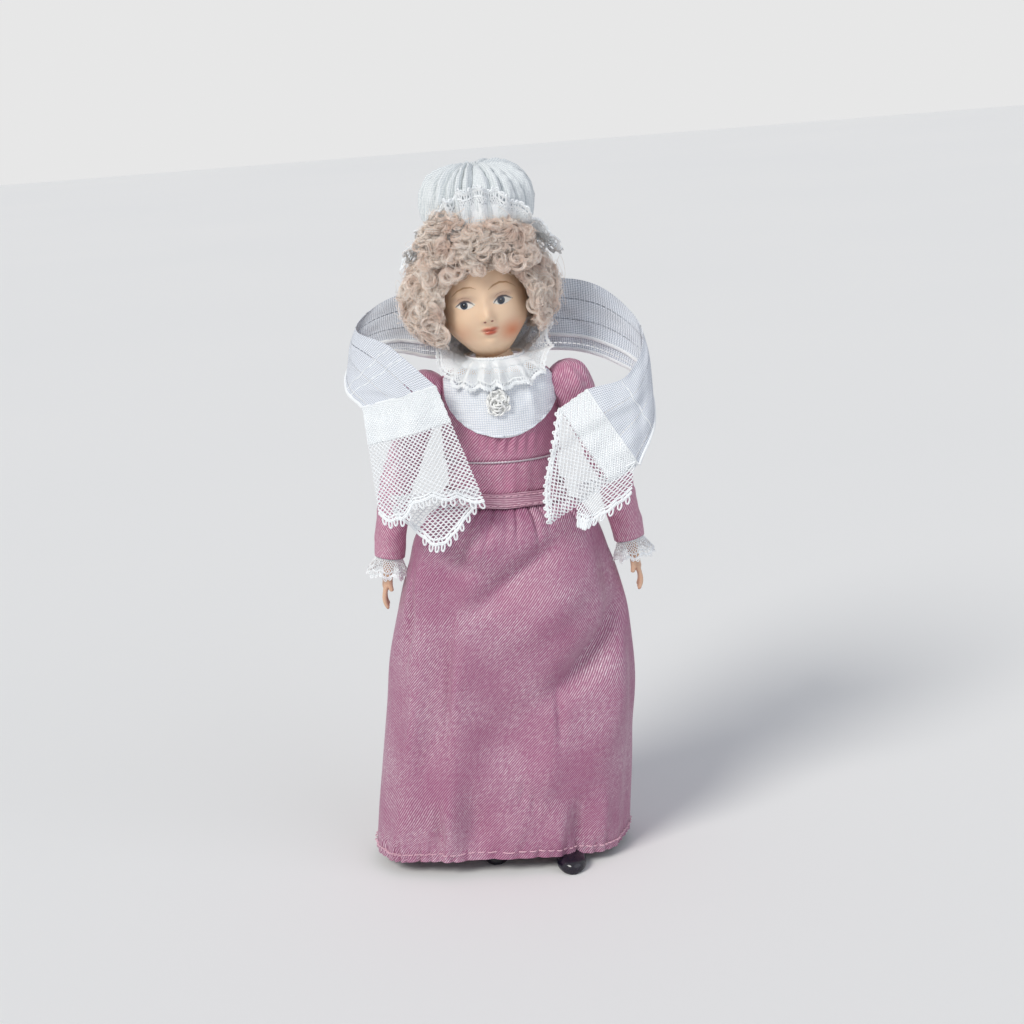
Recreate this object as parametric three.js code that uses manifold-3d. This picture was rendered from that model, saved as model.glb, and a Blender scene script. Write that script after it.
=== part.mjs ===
// A 1:12 lady doll. Her head, forearms and lower legs are bisque, on a stuffed and wired body.
// She wears a satin gown, a cotton chemisette with a lace ruff, a mob cap and a lace-ended stole.
// Millimetres, +Z up. She faces -Y and stands on Z = 0.

import * as THREE from 'three';
import { mergeVertices } from 'three/addons/utils/BufferGeometryUtils.js';
import Module from 'manifold-3d';

const wasm = await Module();
wasm.setup();

// Clearances and cloth, as modelled
const gap = 0.3;
const satin = 0.8;
const cotton = 0.6;
const lace = 0.5;

// Legs
const kneeHeight = 37;
const thighLength = 27;
const hipSpread = 6.4;
const kneeSpread = 7.2;
const ankleSpread = 7.8;
const stride = 4;
const thighRadius = 5.4;
const kneeRadius = 3.9;
const calfRadius = 3.6;
const ankleRadius = 2.3;
const shoeLength = 17;
const shoeWidth = 6.8;
const shoeHeight = 5.4;
const toeHeight = 3.1;
const heelLift = 0.9;

// Trunk, shoulder plate and neck
const trunkLength = 45.5;
const trunkSetback = 1;
const hipHalfWidth = 11.6;
const waistHalfWidth = 10.6;
const chestHalfWidth = 11.2;
const chestHalfDepth = 8.0;
const plateWall = 1.0;
const plateDrop = 10.5;
const neckBallRadius = 4.2;
const neckRadius = 3.7;
const neckSetback = 1.5;
const wireRadius = 0.6;
const spineRadius = 0.8;
const headLean = 6;

// Head, hair and cap
const faceHalfWidth = 8.9;
const headHalfDepth = 9.8;
const headHalfHeight = 13.1;
const chinAbovePivot = 1.1;
const headWall = 1.8;
const noseHeight = 1.8;
const hairHalfWidth = 16.4;
const hairHalfDepth = 12.4;
const hairHalfHeight = 12.2;
const hairShift = -0.5;
const hairFringe = 21.5;
const hairDrop = 6.6;
const capLean = 0.5;
const capShift = -1.1;
const capSeat = 27.1;
const capHalfWidth = 11.8;
const capHeight = 13.6;
const capGathers = 22;
const bandHeight = 1.2;
const frillWidth = 5.4;
const frillStand = 6.8;
const frillFall = 3.2;
const frillWaves = 17;

// Arms
const shoulderSpread = 15;
const shoulderDrop = 5;
const upperArmLength = 22;
const forearmLength = 17;
const upperArmLean = 22;
const forearmLean = 10;
const shoulderRadius = 4.4;
const sleeveRadius = 3.6;
const elbowRadius = 3.4;
const sleeveEndRadius = 3.1;
const coreRadius = 2.2;
const wristRadius = 1.5;
const palmLength = 5.2;
const fingerLength = 5.2;
const cuffFlare = 1.9;
const cuffDepth = 3.6;

// Gown
const gownWaist = 18.5;
const hemHeight = 3.8;
const hemHalfWidth = 26.6;
const hemHalfDepth = 15.2;
const hemShift = -5.9;
const hemFlatness = 0.18;
const hemTilt = 0.5;
const skirtFolds = 10;
const foldDepth = 0.022;
const ribbonWidth = 3;
const ribbonThickness = 0.5;
const bibHalfWidth = 10.2;
const bibDepth = 13.5;
const tieRadius = 0.25;
const tieRise = 7.3;
const ruffRadius = 11.3;
const ruffRise = 4.4;
const ruffFall = 3.3;
const ruffWaves = 13;
const broochRadius = 2.75;
const broochDepth = 1.3;
const broochDrop = 6.9;

// Stole
const stoleFoldDepth = 0.5;
const stoleSeamGap = 0.25;
const scallopDepth = 1.2;
const scallops = 9;

// Levels and pivots that follow from the sizes above
const hipHeight = kneeHeight + thighLength;
const neckHeight = hipHeight + trunkLength;
const shoulderHeight = neckHeight - shoulderDrop;
const waistHeight = hipHeight + gownWaist;
const plateBottom = neckHeight - plateDrop;
const cupRadius = neckBallRadius + gap + plateWall;
const trunkTop = neckHeight - cupRadius - gap;
const neckPivot = new THREE.Vector3(0, neckSetback, neckHeight);
const headCentreUp = chinAbovePivot + headHalfHeight;
const shoulderPivot = new THREE.Vector3(shoulderSpread, trunkSetback, shoulderHeight);
const elbowPivot = shoulderPivot.clone().add(armStep(upperArmLean, upperArmLength));

const rad = THREE.MathUtils.degToRad;

function armStep(leanDegrees, length) {
  const lean = THREE.MathUtils.degToRad(leanDegrees);
  return new THREE.Vector3(Math.sin(lean) * length, 0, -Math.cos(lean) * length);
}

// Geometry helpers

// An indexed geometry from points and faces
function faceted(points, faces) {
  const geometry = new THREE.BufferGeometry();
  geometry.setAttribute('position', new THREE.Float32BufferAttribute(points.flatMap((p) => p.toArray()), 3));
  geometry.setIndex(faces.flat());
  return geometry;
}

// A closed solid through stacked rings, lowest first, each anticlockwise seen from above
function loft(rings) {
  const count = rings[0].length;
  const points = rings.flat();
  const faces = [];
  for (let level = 0; level + 1 < rings.length; level += 1) {
    for (let i = 0; i < count; i += 1) {
      const a = level * count + i;
      const b = level * count + (i + 1) % count;
      faces.push([a, b, b + count], [a, b + count, a + count]);
    }
  }
  const last = points.length - count;
  const bottom = points.push(middle(rings[0])) - 1;
  const top = points.push(middle(rings.at(-1))) - 1;
  for (let i = 0; i < count; i += 1) {
    const next = (i + 1) % count;
    faces.push([bottom, next, i], [top, last + i, last + next]);
  }
  return faceted(points, faces);
}

function middle(ring) {
  const sum = new THREE.Vector3();
  ring.forEach((p) => sum.add(p));
  return sum.divideScalar(ring.length);
}

// A ring of points round a vertical axis
function ellipse(z, wide, deep, count, x = 0, y = 0) {
  return Array.from({ length: count }, (_, i) => {
    const turn = (2 * Math.PI * i) / count;
    return new THREE.Vector3(x + wide * Math.cos(turn), y + deep * Math.sin(turn), z);
  });
}

// A smooth curve through rows of [place, ...values]
function smoothRows(rows) {
  const places = rows.map((row) => row[0]);
  const values = rows.flatMap((row) => row.slice(1));
  const curve = new THREE.CubicInterpolant(places, values, rows[0].length - 1);
  return (place) => Array.from(curve.evaluate(place));
}

// A limb from a domed top at the origin down its own -Z, through rows of [down, wide, deep]
function limb(rows, domeRadius, count) {
  const at = smoothRows(rows);
  const length = rows.at(-1)[0];
  const steps = 5;
  const rings = [];
  for (let i = 0; i <= steps; i += 1) {
    const down = length * (1 - i / steps);
    const [wide, deep] = at(down);
    rings.push(ellipse(-down, wide, deep, count));
  }
  for (const rise of [0.45, 0.8, 0.96]) {
    const narrow = Math.sqrt(1 - rise * rise);
    rings.push(ellipse(domeRadius * rise, domeRadius * narrow, domeRadius * narrow, count));
  }
  return loft(rings);
}

// A sheet of cloth as a closed solid about its middle surface pointAt(u, v), with u and v from 0 to 1
function sheet(pointAt, thickness, uSteps, vSteps, closed = false) {
  const columns = closed ? uSteps : uSteps + 1;
  const reach = 1e-3;
  const front = [];
  const back = [];
  for (let i = 0; i < columns; i += 1) {
    for (let j = 0; j <= vSteps; j += 1) {
      const u = i / uSteps;
      const v = j / vSteps;
      const across = pointAt(u + reach, v).sub(pointAt(u - reach, v));
      const along = pointAt(u, Math.min(v + reach, 1)).sub(pointAt(u, Math.max(v - reach, 0)));
      const normal = across.cross(along).normalize().multiplyScalar(thickness / 2);
      front.push(pointAt(u, v).add(normal));
      back.push(pointAt(u, v).sub(normal));
    }
  }
  const rows = vSteps + 1;
  const other = front.length;
  const faces = [];
  const id = (i, j) => (i % columns) * rows + j;
  for (let i = 0; i < (closed ? columns : columns - 1); i += 1) {
    for (let j = 0; j < vSteps; j += 1) {
      const [a, b, c, d] = [id(i, j), id(i + 1, j), id(i + 1, j + 1), id(i, j + 1)];
      faces.push([a, b, c], [a, c, d], [other + c, other + b, other + a], [other + d, other + c, other + a]);
    }
    const [a, b, c, d] = [id(i, 0), id(i + 1, 0), id(i, vSteps), id(i + 1, vSteps)];
    faces.push([a, other + a, other + b], [a, other + b, b], [c, d, other + d], [c, other + d, other + c]);
  }
  if (!closed) {
    for (let j = 0; j < vSteps; j += 1) {
      const [a, b, c, d] = [id(0, j), id(0, j + 1), id(columns - 1, j), id(columns - 1, j + 1)];
      faces.push([a, b, other + b], [a, other + b, other + a], [c, other + c, other + d], [c, other + d, d]);
    }
  }
  return faceted([...front, ...back], faces);
}

// Solids for cutting and joining
function solid(geometry) {
  const bare = geometry.clone();
  bare.deleteAttribute('normal');
  bare.deleteAttribute('uv');
  const merged = withoutSlivers(mergeVertices(bare, 1e-4));
  return new wasm.Manifold(new wasm.Mesh({
    numProp: 3,
    vertProperties: new Float32Array(merged.attributes.position.array),
    triVerts: new Uint32Array(merged.index.array),
  }));
}

// Faces that merging has closed up, as at the ends of a revolve, go
function withoutSlivers(geometry) {
  const index = Array.from(geometry.index.array);
  const kept = [];
  for (let i = 0; i < index.length; i += 3) {
    const [a, b, c] = index.slice(i, i + 3);
    if (a !== b && b !== c && c !== a) kept.push(a, b, c);
  }
  geometry.setIndex(kept);
  return geometry;
}

function geometryOf(body) {
  const mesh = body.getMesh();
  const geometry = new THREE.BufferGeometry();
  geometry.setAttribute('position', new THREE.BufferAttribute(new Float32Array(mesh.vertProperties), 3));
  geometry.setIndex(new THREE.BufferAttribute(new Uint32Array(mesh.triVerts), 1));
  return geometry;
}

function ball(radius, centre, count = 16) {
  const sphere = new THREE.SphereGeometry(radius, count, Math.round(count * 0.6));
  sphere.rotateX(Math.PI / 2);
  return sphere.translate(centre.x, centre.y, centre.z);
}

function rod(radius, bottom, top, x = 0, y = 0, count = 16) {
  return loft([ellipse(bottom, radius, radius, count, x, y), ellipse(top, radius, radius, count, x, y)]);
}

function block(x0, x1, y0, y1, z0, z1) {
  const box = new THREE.BoxGeometry(x1 - x0, y1 - y0, z1 - z0);
  return box.translate((x0 + x1) / 2, (y0 + y1) / 2, (z0 + z1) / 2);
}

// The room a domed limb needs to fold from straight down to level; fold is -1 forwards, 1 backwards
function foldRoom(radius, halfWidth, reach, pivot, fold) {
  const outline = new THREE.Shape();
  outline.moveTo(fold * reach, radius);
  outline.lineTo(0, radius);
  if (fold < 0) {
    outline.absarc(0, 0, radius, Math.PI / 2, 0, true);
  } else {
    outline.absarc(0, 0, radius, Math.PI / 2, Math.PI, false);
  }
  outline.lineTo(-fold * radius, -reach);
  outline.lineTo(fold * reach, -reach);
  outline.closePath();
  const room = new THREE.ExtrudeGeometry(outline, { depth: 2 * halfWidth, bevelEnabled: false, curveSegments: 5 });
  room.translate(0, 0, -halfWidth);
  const turn = new THREE.Matrix4().makeBasis(
    new THREE.Vector3(0, 1, 0), new THREE.Vector3(0, 0, 1), new THREE.Vector3(1, 0, 0));
  return room.applyMatrix4(turn).translate(pivot.x, pivot.y, pivot.z);
}

// The same piece for the other side of the body
function mirrored(geometry) {
  const copy = geometry.clone().scale(-1, 1, 1);
  const index = copy.index.array;
  for (let i = 0; i < index.length; i += 3) {
    [index[i + 1], index[i + 2]] = [index[i + 2], index[i + 1]];
  }
  return copy;
}

// A piece modelled down its own -Z, leant outwards and hung from its pivot
function hung(geometry, pivot, leanDegrees) {
  return geometry.clone().rotateY(-rad(leanDegrees)).translate(pivot.x, pivot.y, pivot.z);
}

// Finishes
const finishes = {
  bisque: { color: 0xdcb79e, roughness: 0.55 },
  hair: { color: 0xdfc0ad, roughness: 0.5 },
  satin: { color: 0xb0728a, roughness: 0.4 },
  ribbon: { color: 0xc08a9c, roughness: 0.35 },
  cotton: { color: 0xe6e9ee, roughness: 0.9 },
  lace: { color: 0xeff1ef, roughness: 0.9 },
  calico: { color: 0xe4dac8, roughness: 0.95 },
  wire: { color: 0x9a9c9f, roughness: 0.35, metalness: 1 },
  thread: { color: 0xd8d4da, roughness: 0.2 },
};

const doll = new THREE.Group();

function add(name, finish, geometry) {
  const shaded = geometry.index ? geometry.toNonIndexed() : geometry;
  shaded.computeVertexNormals();
  const mesh = new THREE.Mesh(shaded, new THREE.MeshStandardMaterial(finishes[finish]));
  mesh.name = name;
  doll.add(mesh);
  return mesh;
}

// Trunk

// Half width and half depth of the body at a share of its height from hip to neck
const trunkCurve = smoothRows([
  [-0.04, hipHalfWidth * 0.6, chestHalfDepth * 0.62],
  [0.08, hipHalfWidth * 0.92, chestHalfDepth * 0.9],
  [0.22, hipHalfWidth, chestHalfDepth],
  [0.36, (hipHalfWidth + waistHalfWidth) / 2, chestHalfDepth * 0.93],
  [0.44, waistHalfWidth, chestHalfDepth * 0.89],
  [0.57, (chestHalfWidth + waistHalfWidth) / 2, chestHalfDepth * 0.95],
  [0.71, chestHalfWidth, chestHalfDepth],
  [0.82, chestHalfWidth, chestHalfDepth * 0.97],
  [0.91, chestHalfWidth * 0.98, chestHalfDepth * 0.87],
  [0.955, chestHalfWidth * 0.88, chestHalfDepth * 0.8],
  [0.985, chestHalfWidth * 0.68, chestHalfDepth * 0.75],
  [1.0, chestHalfWidth * 0.54, chestHalfDepth * 0.7],
]);

// Every layer over the body has its rings at these shares, so that the layers stay parallel
const bodyShares = [-0.04, 0.08, 0.2, 0.32, 0.44, 0.56, 0.66, 0.74, 0.8, 0.86, 0.91, 0.945, 0.97, 0.985, 1];

function trunkAt(share) {
  const above = Math.max(1, bodyShares.findIndex((place) => place >= share));
  const upper = share > 1 ? bodyShares.length - 1 : above;
  const [low, high] = [bodyShares[upper - 1], bodyShares[upper]];
  const mix = (share - low) / (high - low);
  const [lowSize, highSize] = [trunkCurve(low), trunkCurve(high)];
  return lowSize.map((value, k) => THREE.MathUtils.lerp(value, highSize[k], mix));
}

// A solid that follows the body between two heights, grown by an amount
function bodyForm(bottom, top, grow, count = 22) {
  const heights = bodyShares.map((share) => hipHeight + trunkLength * share)
    .filter((z) => z > bottom + 0.2 && z < top - 0.2);
  const rings = [bottom, ...heights, top].map((z) => {
    const [wide, deep] = trunkAt((z - hipHeight) / trunkLength);
    return ellipse(z, wide + grow, deep + grow, count, 0, trunkSetback);
  });
  return loft(rings);
}

// The upper sleeve swells over the shoulder: rows of [down, half width, half depth]
const upperSleeveRows = [
  [0, shoulderRadius, shoulderRadius],
  [upperArmLength * 0.14, shoulderRadius * 0.96, shoulderRadius * 0.96],
  [upperArmLength * 0.3, sleeveRadius * 1.06, sleeveRadius * 1.06],
  [upperArmLength * 0.6, sleeveRadius, sleeveRadius],
  [upperArmLength, sleeveRadius * 0.98, sleeveRadius * 0.98],
];

// The hollows in the trunk and its layers that the arms swing in: a ball, and the turn of the sleeve's inside
function shoulderSockets() {
  const lean = rad(upperArmLean);
  const sleeveAt = smoothRows(upperSleeveRows);
  const profile = [new THREE.Vector2(0, -shoulderRadius)];
  for (let i = 0; i <= 4; i += 1) {
    const down = (upperArmLength * 0.4 * i) / 4;
    const [radius] = sleeveAt(down);
    const inside = down * Math.sin(lean) - radius * Math.cos(lean) - gap * 1.2;
    profile.push(new THREE.Vector2(down * Math.cos(lean) + radius * Math.sin(lean), inside));
  }
  const outside = shoulderSpread + shoulderRadius;
  profile.push(new THREE.Vector2(profile.at(-1).x, outside), new THREE.Vector2(0, outside));
  const swing = new THREE.LatheGeometry(profile, 14);
  swing.rotateZ(-Math.PI / 2).translate(shoulderPivot.x, shoulderPivot.y, shoulderPivot.z);
  const socket = solid(ball(shoulderRadius + gap, shoulderPivot)).add(solid(swing));
  return socket.add(solid(mirrored(geometryOf(socket))));
}

const hipPivots = {
  left: new THREE.Vector3(hipSpread, 0, hipHeight),
  right: new THREE.Vector3(-hipSpread, 0, hipHeight),
};
const plateInset = plateWall + gap;

{
  const lower = bodyForm(hipHeight - trunkLength * 0.04, plateBottom - gap, 0);
  const upper = bodyForm(plateBottom - gap - 1, trunkTop, -plateInset);
  let stuffing = solid(lower).add(solid(upper)).subtract(shoulderSockets());
  for (const pivot of Object.values(hipPivots)) {
    const room = foldRoom(thighRadius + gap, hipSpread + gap, chestHalfDepth * 3, pivot, -1);
    stuffing = stuffing.subtract(solid(room));
  }
  const bore = rod(spineRadius + gap, waistHeight - 6, trunkTop + 1, 0, trunkSetback);
  add('torso_stuffing', 'calico', geometryOf(stuffing.subtract(solid(bore))));
  add('spine_wire', 'wire', rod(spineRadius, waistHeight - 6 + gap, trunkTop - gap, 0, trunkSetback));
}

// The bisque shoulder plate is a dome with a cup that seats the ball of the neck
{
  const dome = solid(bodyForm(plateBottom, neckHeight, 0));
  const hollow = solid(bodyForm(plateBottom - 1, neckHeight - plateWall * 1.8, -plateWall));
  const cup = solid(ball(cupRadius, neckPivot)).intersect(solid(block(-20, 20, -20, 20, plateBottom, neckHeight)));
  const seat = solid(ball(neckBallRadius + gap, neckPivot));
  const wireHole = rod(wireRadius + 1.6, plateBottom - 2, neckHeight, 0, neckSetback);
  const plate = dome.subtract(hollow).add(cup).subtract(seat).subtract(solid(wireHole)).subtract(shoulderSockets());
  add('shoulder_plate', 'bisque', geometryOf(plate));
}

// Gown

const bodiceTop = hipHeight + trunkLength * 0.965;
const bibTop = hipHeight + trunkLength * 0.972;
const bodiceGrow = gap + satin;

// The U of the neckline, cut through the front of the bodice
function neckline(margin) {
  const half = bibHalfWidth + margin;
  const bottom = neckHeight - bibDepth - margin;
  const bend = half * 0.85;
  const outline = new THREE.Shape();
  outline.moveTo(-half, neckHeight + 5);
  outline.lineTo(-half, bottom + bend);
  outline.absellipse(0, bottom + bend, half, bend, Math.PI, 2 * Math.PI, false);
  outline.lineTo(half, neckHeight + 5);
  outline.closePath();
  const depth = chestHalfDepth * 2;
  const prism = new THREE.ExtrudeGeometry(outline, { depth, bevelEnabled: false, curveSegments: 12 });
  return prism.rotateX(Math.PI / 2).translate(0, trunkSetback, 0);
}

{
  const skinTop = Math.max(bodiceTop, bibTop);
  const shell = solid(bodyForm(waistHeight + gap / 2, skinTop, bodiceGrow))
    .subtract(solid(bodyForm(waistHeight - 1, skinTop + 1, gap)))
    .subtract(shoulderSockets());
  const above = solid(block(-20, 20, -20, 20, bodiceTop, neckHeight + 5));
  const bodice = shell.subtract(solid(neckline(gap / 2))).subtract(above);
  add('bodice', 'satin', geometryOf(bodice));
  add('bib', 'cotton', geometryOf(shell.intersect(solid(neckline(-gap / 2)))));
}

// A closed band of cloth round the body
function band(bottom, top, inner, thickness, count) {
  const pointAt = (u, v) => {
    const z = bottom + (top - bottom) * v;
    const [wide, deep] = trunkAt((z - hipHeight) / trunkLength);
    const turn = 2 * Math.PI * u;
    const grow = inner + thickness / 2;
    return new THREE.Vector3((wide + grow) * Math.cos(turn), trunkSetback + (deep + grow) * Math.sin(turn), z);
  };
  return sheet(pointAt, thickness, count, 1, true);
}

const ribbonInner = bodiceGrow + gap;
add('waist_ribbon', 'ribbon',
  band(waistHeight - ribbonWidth / 2, waistHeight + ribbonWidth / 2, ribbonInner, ribbonThickness, 36));

{
  const tieHeight = waistHeight + tieRise;
  const [wide, deep] = trunkAt((tieHeight - hipHeight) / trunkLength);
  const reach = bodiceGrow + gap + tieRadius;
  const loop = new THREE.TorusGeometry(1, tieRadius, 4, 30);
  const position = loop.attributes.position;
  for (let i = 0; i < position.count; i += 1) {
    const turn = Math.atan2(position.getY(i), position.getX(i));
    const off = Math.hypot(position.getX(i), position.getY(i)) - 1;
    position.setXYZ(i, (wide + reach + off) * Math.cos(turn),
      trunkSetback + (deep + reach + off) * Math.sin(turn), tieHeight + position.getZ(i));
  }
  add('bodice_tie', 'thread', geometryOf(solid(loop)));
}

// Where the skirt is dented or swells: [turn, drop, half length, half width, slant, height]. Turns and slants are in
// degrees, and drops are shares of the skirt's length. The slant is that of the length, down to the doll's right.
const skirtSwells = [
  [-85, 0.21, 13, 3.6, 32, -1.0],
  [-38, 0.46, 14, 3.8, 22, -1.3],
  [-62, 0.34, 13, 6, 32, 0.9],
  [-142, 0.22, 9, 7, 70, 0.6],
  [-45, 0.62, 13, 7, 30, 0.9],
  [-95, 0.66, 9, 6, 80, -0.6],
  [-107, 0.9, 8, 3.4, 75, -0.8],
  [-57, 0.92, 7, 3.4, 80, -0.7],
  [80, 0.6, 20, 5, 85, -1.0],
  [130, 0.6, 20, 6, 85, 0.8],
  [35, 0.6, 20, 5, 85, 0.8],
  [0, 0.2, 7, 7, 0, -0.9],
  [180, 0.2, 7, 7, 0, -1.5],
];

function skirtSwell(turn, drop, radius, length) {
  let total = 0;
  for (const [atTurn, atDrop, halfLength, halfWidth, slant, height] of skirtSwells) {
    const away = turn - rad(atTurn);
    const across = Math.atan2(Math.sin(away), Math.cos(away)) * radius;
    const down = (drop - atDrop) * length;
    const along = -across * Math.cos(rad(slant)) + down * Math.sin(rad(slant));
    const aside = across * Math.sin(rad(slant)) + down * Math.cos(rad(slant));
    total += height * Math.exp(-((along / halfLength) ** 2) - (aside / halfWidth) ** 2);
  }
  return total;
}

// The skirt hangs from the waist, flares, and drifts to her right towards a hem that is flattened front and back
{
  const length = waistHeight - hemHeight;
  const [waistWide, waistDeep] = trunkAt((waistHeight - hipHeight) / trunkLength);
  const profile = smoothRows([
    [0, waistWide + gap + satin / 2, waistDeep + gap + satin / 2],
    [0.022, waistWide + gap + satin * 0.8, waistDeep + gap + satin * 0.8],
    [0.055, hemHalfWidth * 0.6, hemHalfDepth * 0.71],
    [0.1, hemHalfWidth * 0.7, hemHalfDepth * 0.82],
    [0.19, hemHalfWidth * 0.785, hemHalfDepth * 0.88],
    [0.3, hemHalfWidth * 0.88, hemHalfDepth * 0.91],
    [0.42, hemHalfWidth * 0.95, hemHalfDepth * 0.94],
    [0.7, hemHalfWidth, hemHalfDepth * 0.98],
    [1, hemHalfWidth, hemHalfDepth],
  ]);
  const levels = [0, 0.022, 0.055, 0.1, 0.19, 0.3, 0.44, 0.6, 0.8, 1];
  const pointAt = (u, v) => {
    const place = v * (levels.length - 1);
    const step = Math.min(Math.floor(place), levels.length - 2);
    const drop = THREE.MathUtils.lerp(levels[step], levels[step + 1], place - step);
    const [wide, deep] = profile(drop);
    const turn = -2 * Math.PI * u;
    const flat = 1 - hemFlatness * THREE.MathUtils.smoothstep(drop, 0.1, 0.9);
    const x = Math.sign(Math.cos(turn)) * Math.abs(Math.cos(turn)) ** flat;
    const y = Math.sign(Math.sin(turn)) * Math.abs(Math.sin(turn)) ** flat;
    const uneven = skirtFolds * turn + 0.9 * Math.sin(3 * turn);
    const wave = 0.7 * Math.cos(uneven) + 0.3 * Math.cos((skirtFolds - 3) * turn);
    const loose = THREE.MathUtils.smoothstep(drop, 0.02, 0.2);
    const grow = (foldDepth * wave * wide + skirtSwell(turn, drop, wide, length)) * loose;
    return new THREE.Vector3((wide + grow) * x + hemShift * drop ** 1.5, trunkSetback + (deep + grow) * y,
      waistHeight - gap / 2 - (length - gap / 2) * drop - hemTilt * drop * x);
  };
  add('skirt', 'satin', sheet(pointAt, satin, 48, levels.length - 1, true));
}

// The ruff stands round the jaw and falls forwards on the chest
{
  const inner = neckBallRadius + gap * 3;
  const base = neckHeight + gap * 4;
  const pointAt = (u, v) => {
    const turn = -2 * Math.PI * u;
    const front = Math.max(0, -Math.sin(turn)) ** 1.5;
    const outer = ruffRadius - 2 * front;
    const rise = ruffRise - (ruffRise + ruffFall) * front;
    const ruffle = 0.45 * v * Math.sin(ruffWaves * turn);
    const radius = inner + (outer - inner) * v;
    return new THREE.Vector3(radius * Math.cos(turn), neckSetback + radius * Math.sin(turn),
      base + rise * v ** 1.3 + ruffle);
  };
  add('neck_ruff', 'lace', sheet(pointAt, lace, ruffWaves * 4, 2, true));
}

// The brooch is a knotted rosette on the bib
{
  const count = 24;
  const outline = (z, radius, wave) => Array.from({ length: count }, (_, i) => {
    const turn = (2 * Math.PI * i) / count;
    const r = radius * (1 + wave * Math.cos(8 * turn));
    return new THREE.Vector3(r * Math.cos(turn), r * Math.sin(turn) * 1.1, z);
  });
  const rosette = loft([
    outline(0, broochRadius * 0.8, 0.05),
    outline(broochDepth * 0.35, broochRadius, 0.1),
    outline(broochDepth * 0.75, broochRadius * 0.72, 0.1),
    outline(broochDepth, broochRadius * 0.3, 0.05),
  ]);
  const height = neckHeight - broochDrop;
  const share = (height - hipHeight) / trunkLength;
  const slope = (trunkAt(share - 0.02)[1] - trunkAt(share + 0.02)[1]) / (0.04 * trunkLength);
  const front = trunkSetback - trunkAt(share)[1] - bodiceGrow - gap * 1.5;
  rosette.rotateX(Math.PI / 2 - Math.atan(slope)).translate(0, front, height);
  add('brooch', 'cotton', rosette);
}

// Legs

function leg(side, footForward) {
  const outward = side === 'left' ? 1 : -1;
  const hip = hipPivots[side];
  const footY = -footForward;
  const kneeY = footY * (thighLength / hipHeight);
  const knee = new THREE.Vector3(outward * kneeSpread, kneeY, kneeHeight);
  const ankle = new THREE.Vector3(outward * ankleSpread, footY, shoeHeight);

  // The stuffed thigh runs from its domed top to a hollow that seats the knee
  const count = 14;
  const thighRows = smoothRows([
    [0, thighRadius, thighRadius],
    [0.45, thighRadius * 0.97, thighRadius * 0.97],
    [0.8, thighRadius * 0.86, thighRadius * 0.86],
    [1, thighRadius * 0.8, thighRadius * 0.8],
  ]);
  const rings = [];
  for (let i = 4; i >= 0; i -= 1) {
    const centre = hip.clone().lerp(knee, i / 4);
    const [wide, deep] = thighRows(i / 4);
    rings.push(ellipse(centre.z, wide, deep, count, centre.x, centre.y));
  }
  for (const rise of [0.45, 0.8, 0.96]) {
    const narrow = thighRadius * Math.sqrt(1 - rise * rise);
    rings.push(ellipse(hip.z + thighRadius * rise, narrow, narrow, count, hip.x, hip.y));
  }
  const kneeRoom = foldRoom(kneeRadius + gap, thighRadius * 1.2, thighLength, knee, 1);
  add(`thigh_${side}`, 'calico', geometryOf(solid(loft(rings)).subtract(solid(kneeRoom))));

  // The bisque lower leg and its moulded shoe are one casting
  const shinAt = smoothRows([
    [0, ankleRadius, ankleRadius],
    [0.25, ankleRadius * 1.12, ankleRadius * 1.2],
    [0.62, calfRadius, calfRadius],
    [0.85, calfRadius * 0.9, calfRadius * 0.92],
    [1, kneeRadius * 0.96, kneeRadius * 0.96],
  ]);
  const shinRings = [];
  for (let i = 0; i <= 7; i += 1) {
    const centre = ankle.clone().lerp(knee, i / 7);
    centre.z = THREE.MathUtils.lerp(toeHeight, kneeHeight, i / 7);
    const [wide, deep] = shinAt(i / 7);
    shinRings.push(ellipse(centre.z, wide, deep, count, centre.x, centre.y));
  }
  const shin = solid(loft(shinRings)).add(solid(ball(kneeRadius, knee, 16)));
  const casting = shin.add(solid(shoe(ankle, outward))).subtract(solid(archCut(ankle)));
  add(`lower_leg_${side}`, 'bisque', geometryOf(casting));
}

// A shoe from heel to toe with a flat sole, through rows of [share of length, half width, height]
function shoe(ankle, outward) {
  const heelY = ankle.y + shoeLength * 0.24;
  const at = smoothRows([
    [0, shoeWidth * 0.2, shoeHeight * 0.75],
    [0.06, shoeWidth * 0.36, shoeHeight * 0.95],
    [0.2, shoeWidth * 0.42, shoeHeight * 1.05],
    [0.42, shoeWidth * 0.42, shoeHeight * 0.85],
    [0.7, shoeWidth * 0.5, toeHeight * 1.1],
    [0.9, shoeWidth * 0.42, toeHeight * 0.95],
    [0.97, shoeWidth * 0.28, toeHeight * 0.8],
    [1, shoeWidth * 0.14, toeHeight * 0.62],
  ]);
  const shares = [0, 0.04, 0.12, 0.24, 0.38, 0.54, 0.7, 0.84, 0.92, 0.97, 1];
  const count = 14;
  const rings = shares.map((share) => {
    const [half, height] = at(share);
    const y = heelY - shoeLength * share;
    const turnOut = outward * 0.05 * shoeWidth * share;
    return Array.from({ length: count }, (_, i) => {
      const turn = (2 * Math.PI * i) / count;
      const z = height * Math.max(0, 0.4 + 0.6 * Math.sin(turn));
      return new THREE.Vector3(ankle.x + turnOut + half * Math.cos(turn), y, z);
    });
  });
  return loft(rings);
}

// The hollow under the instep leaves a heel
function archCut(ankle) {
  const back = ankle.y + shoeLength * 0.06;
  const front = ankle.y - shoeLength * 0.26;
  const width = shoeWidth;
  return block(ankle.x - width, ankle.x + width, front, back, -1, heelLift);
}

leg('left', stride);
leg('right', -stride);

// Arms

// Adds a piece of the arm on both sides
function pair(name, finish, geometry) {
  add(`${name}_left`, finish, geometry);
  add(`${name}_right`, finish, mirrored(geometry));
}

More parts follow.
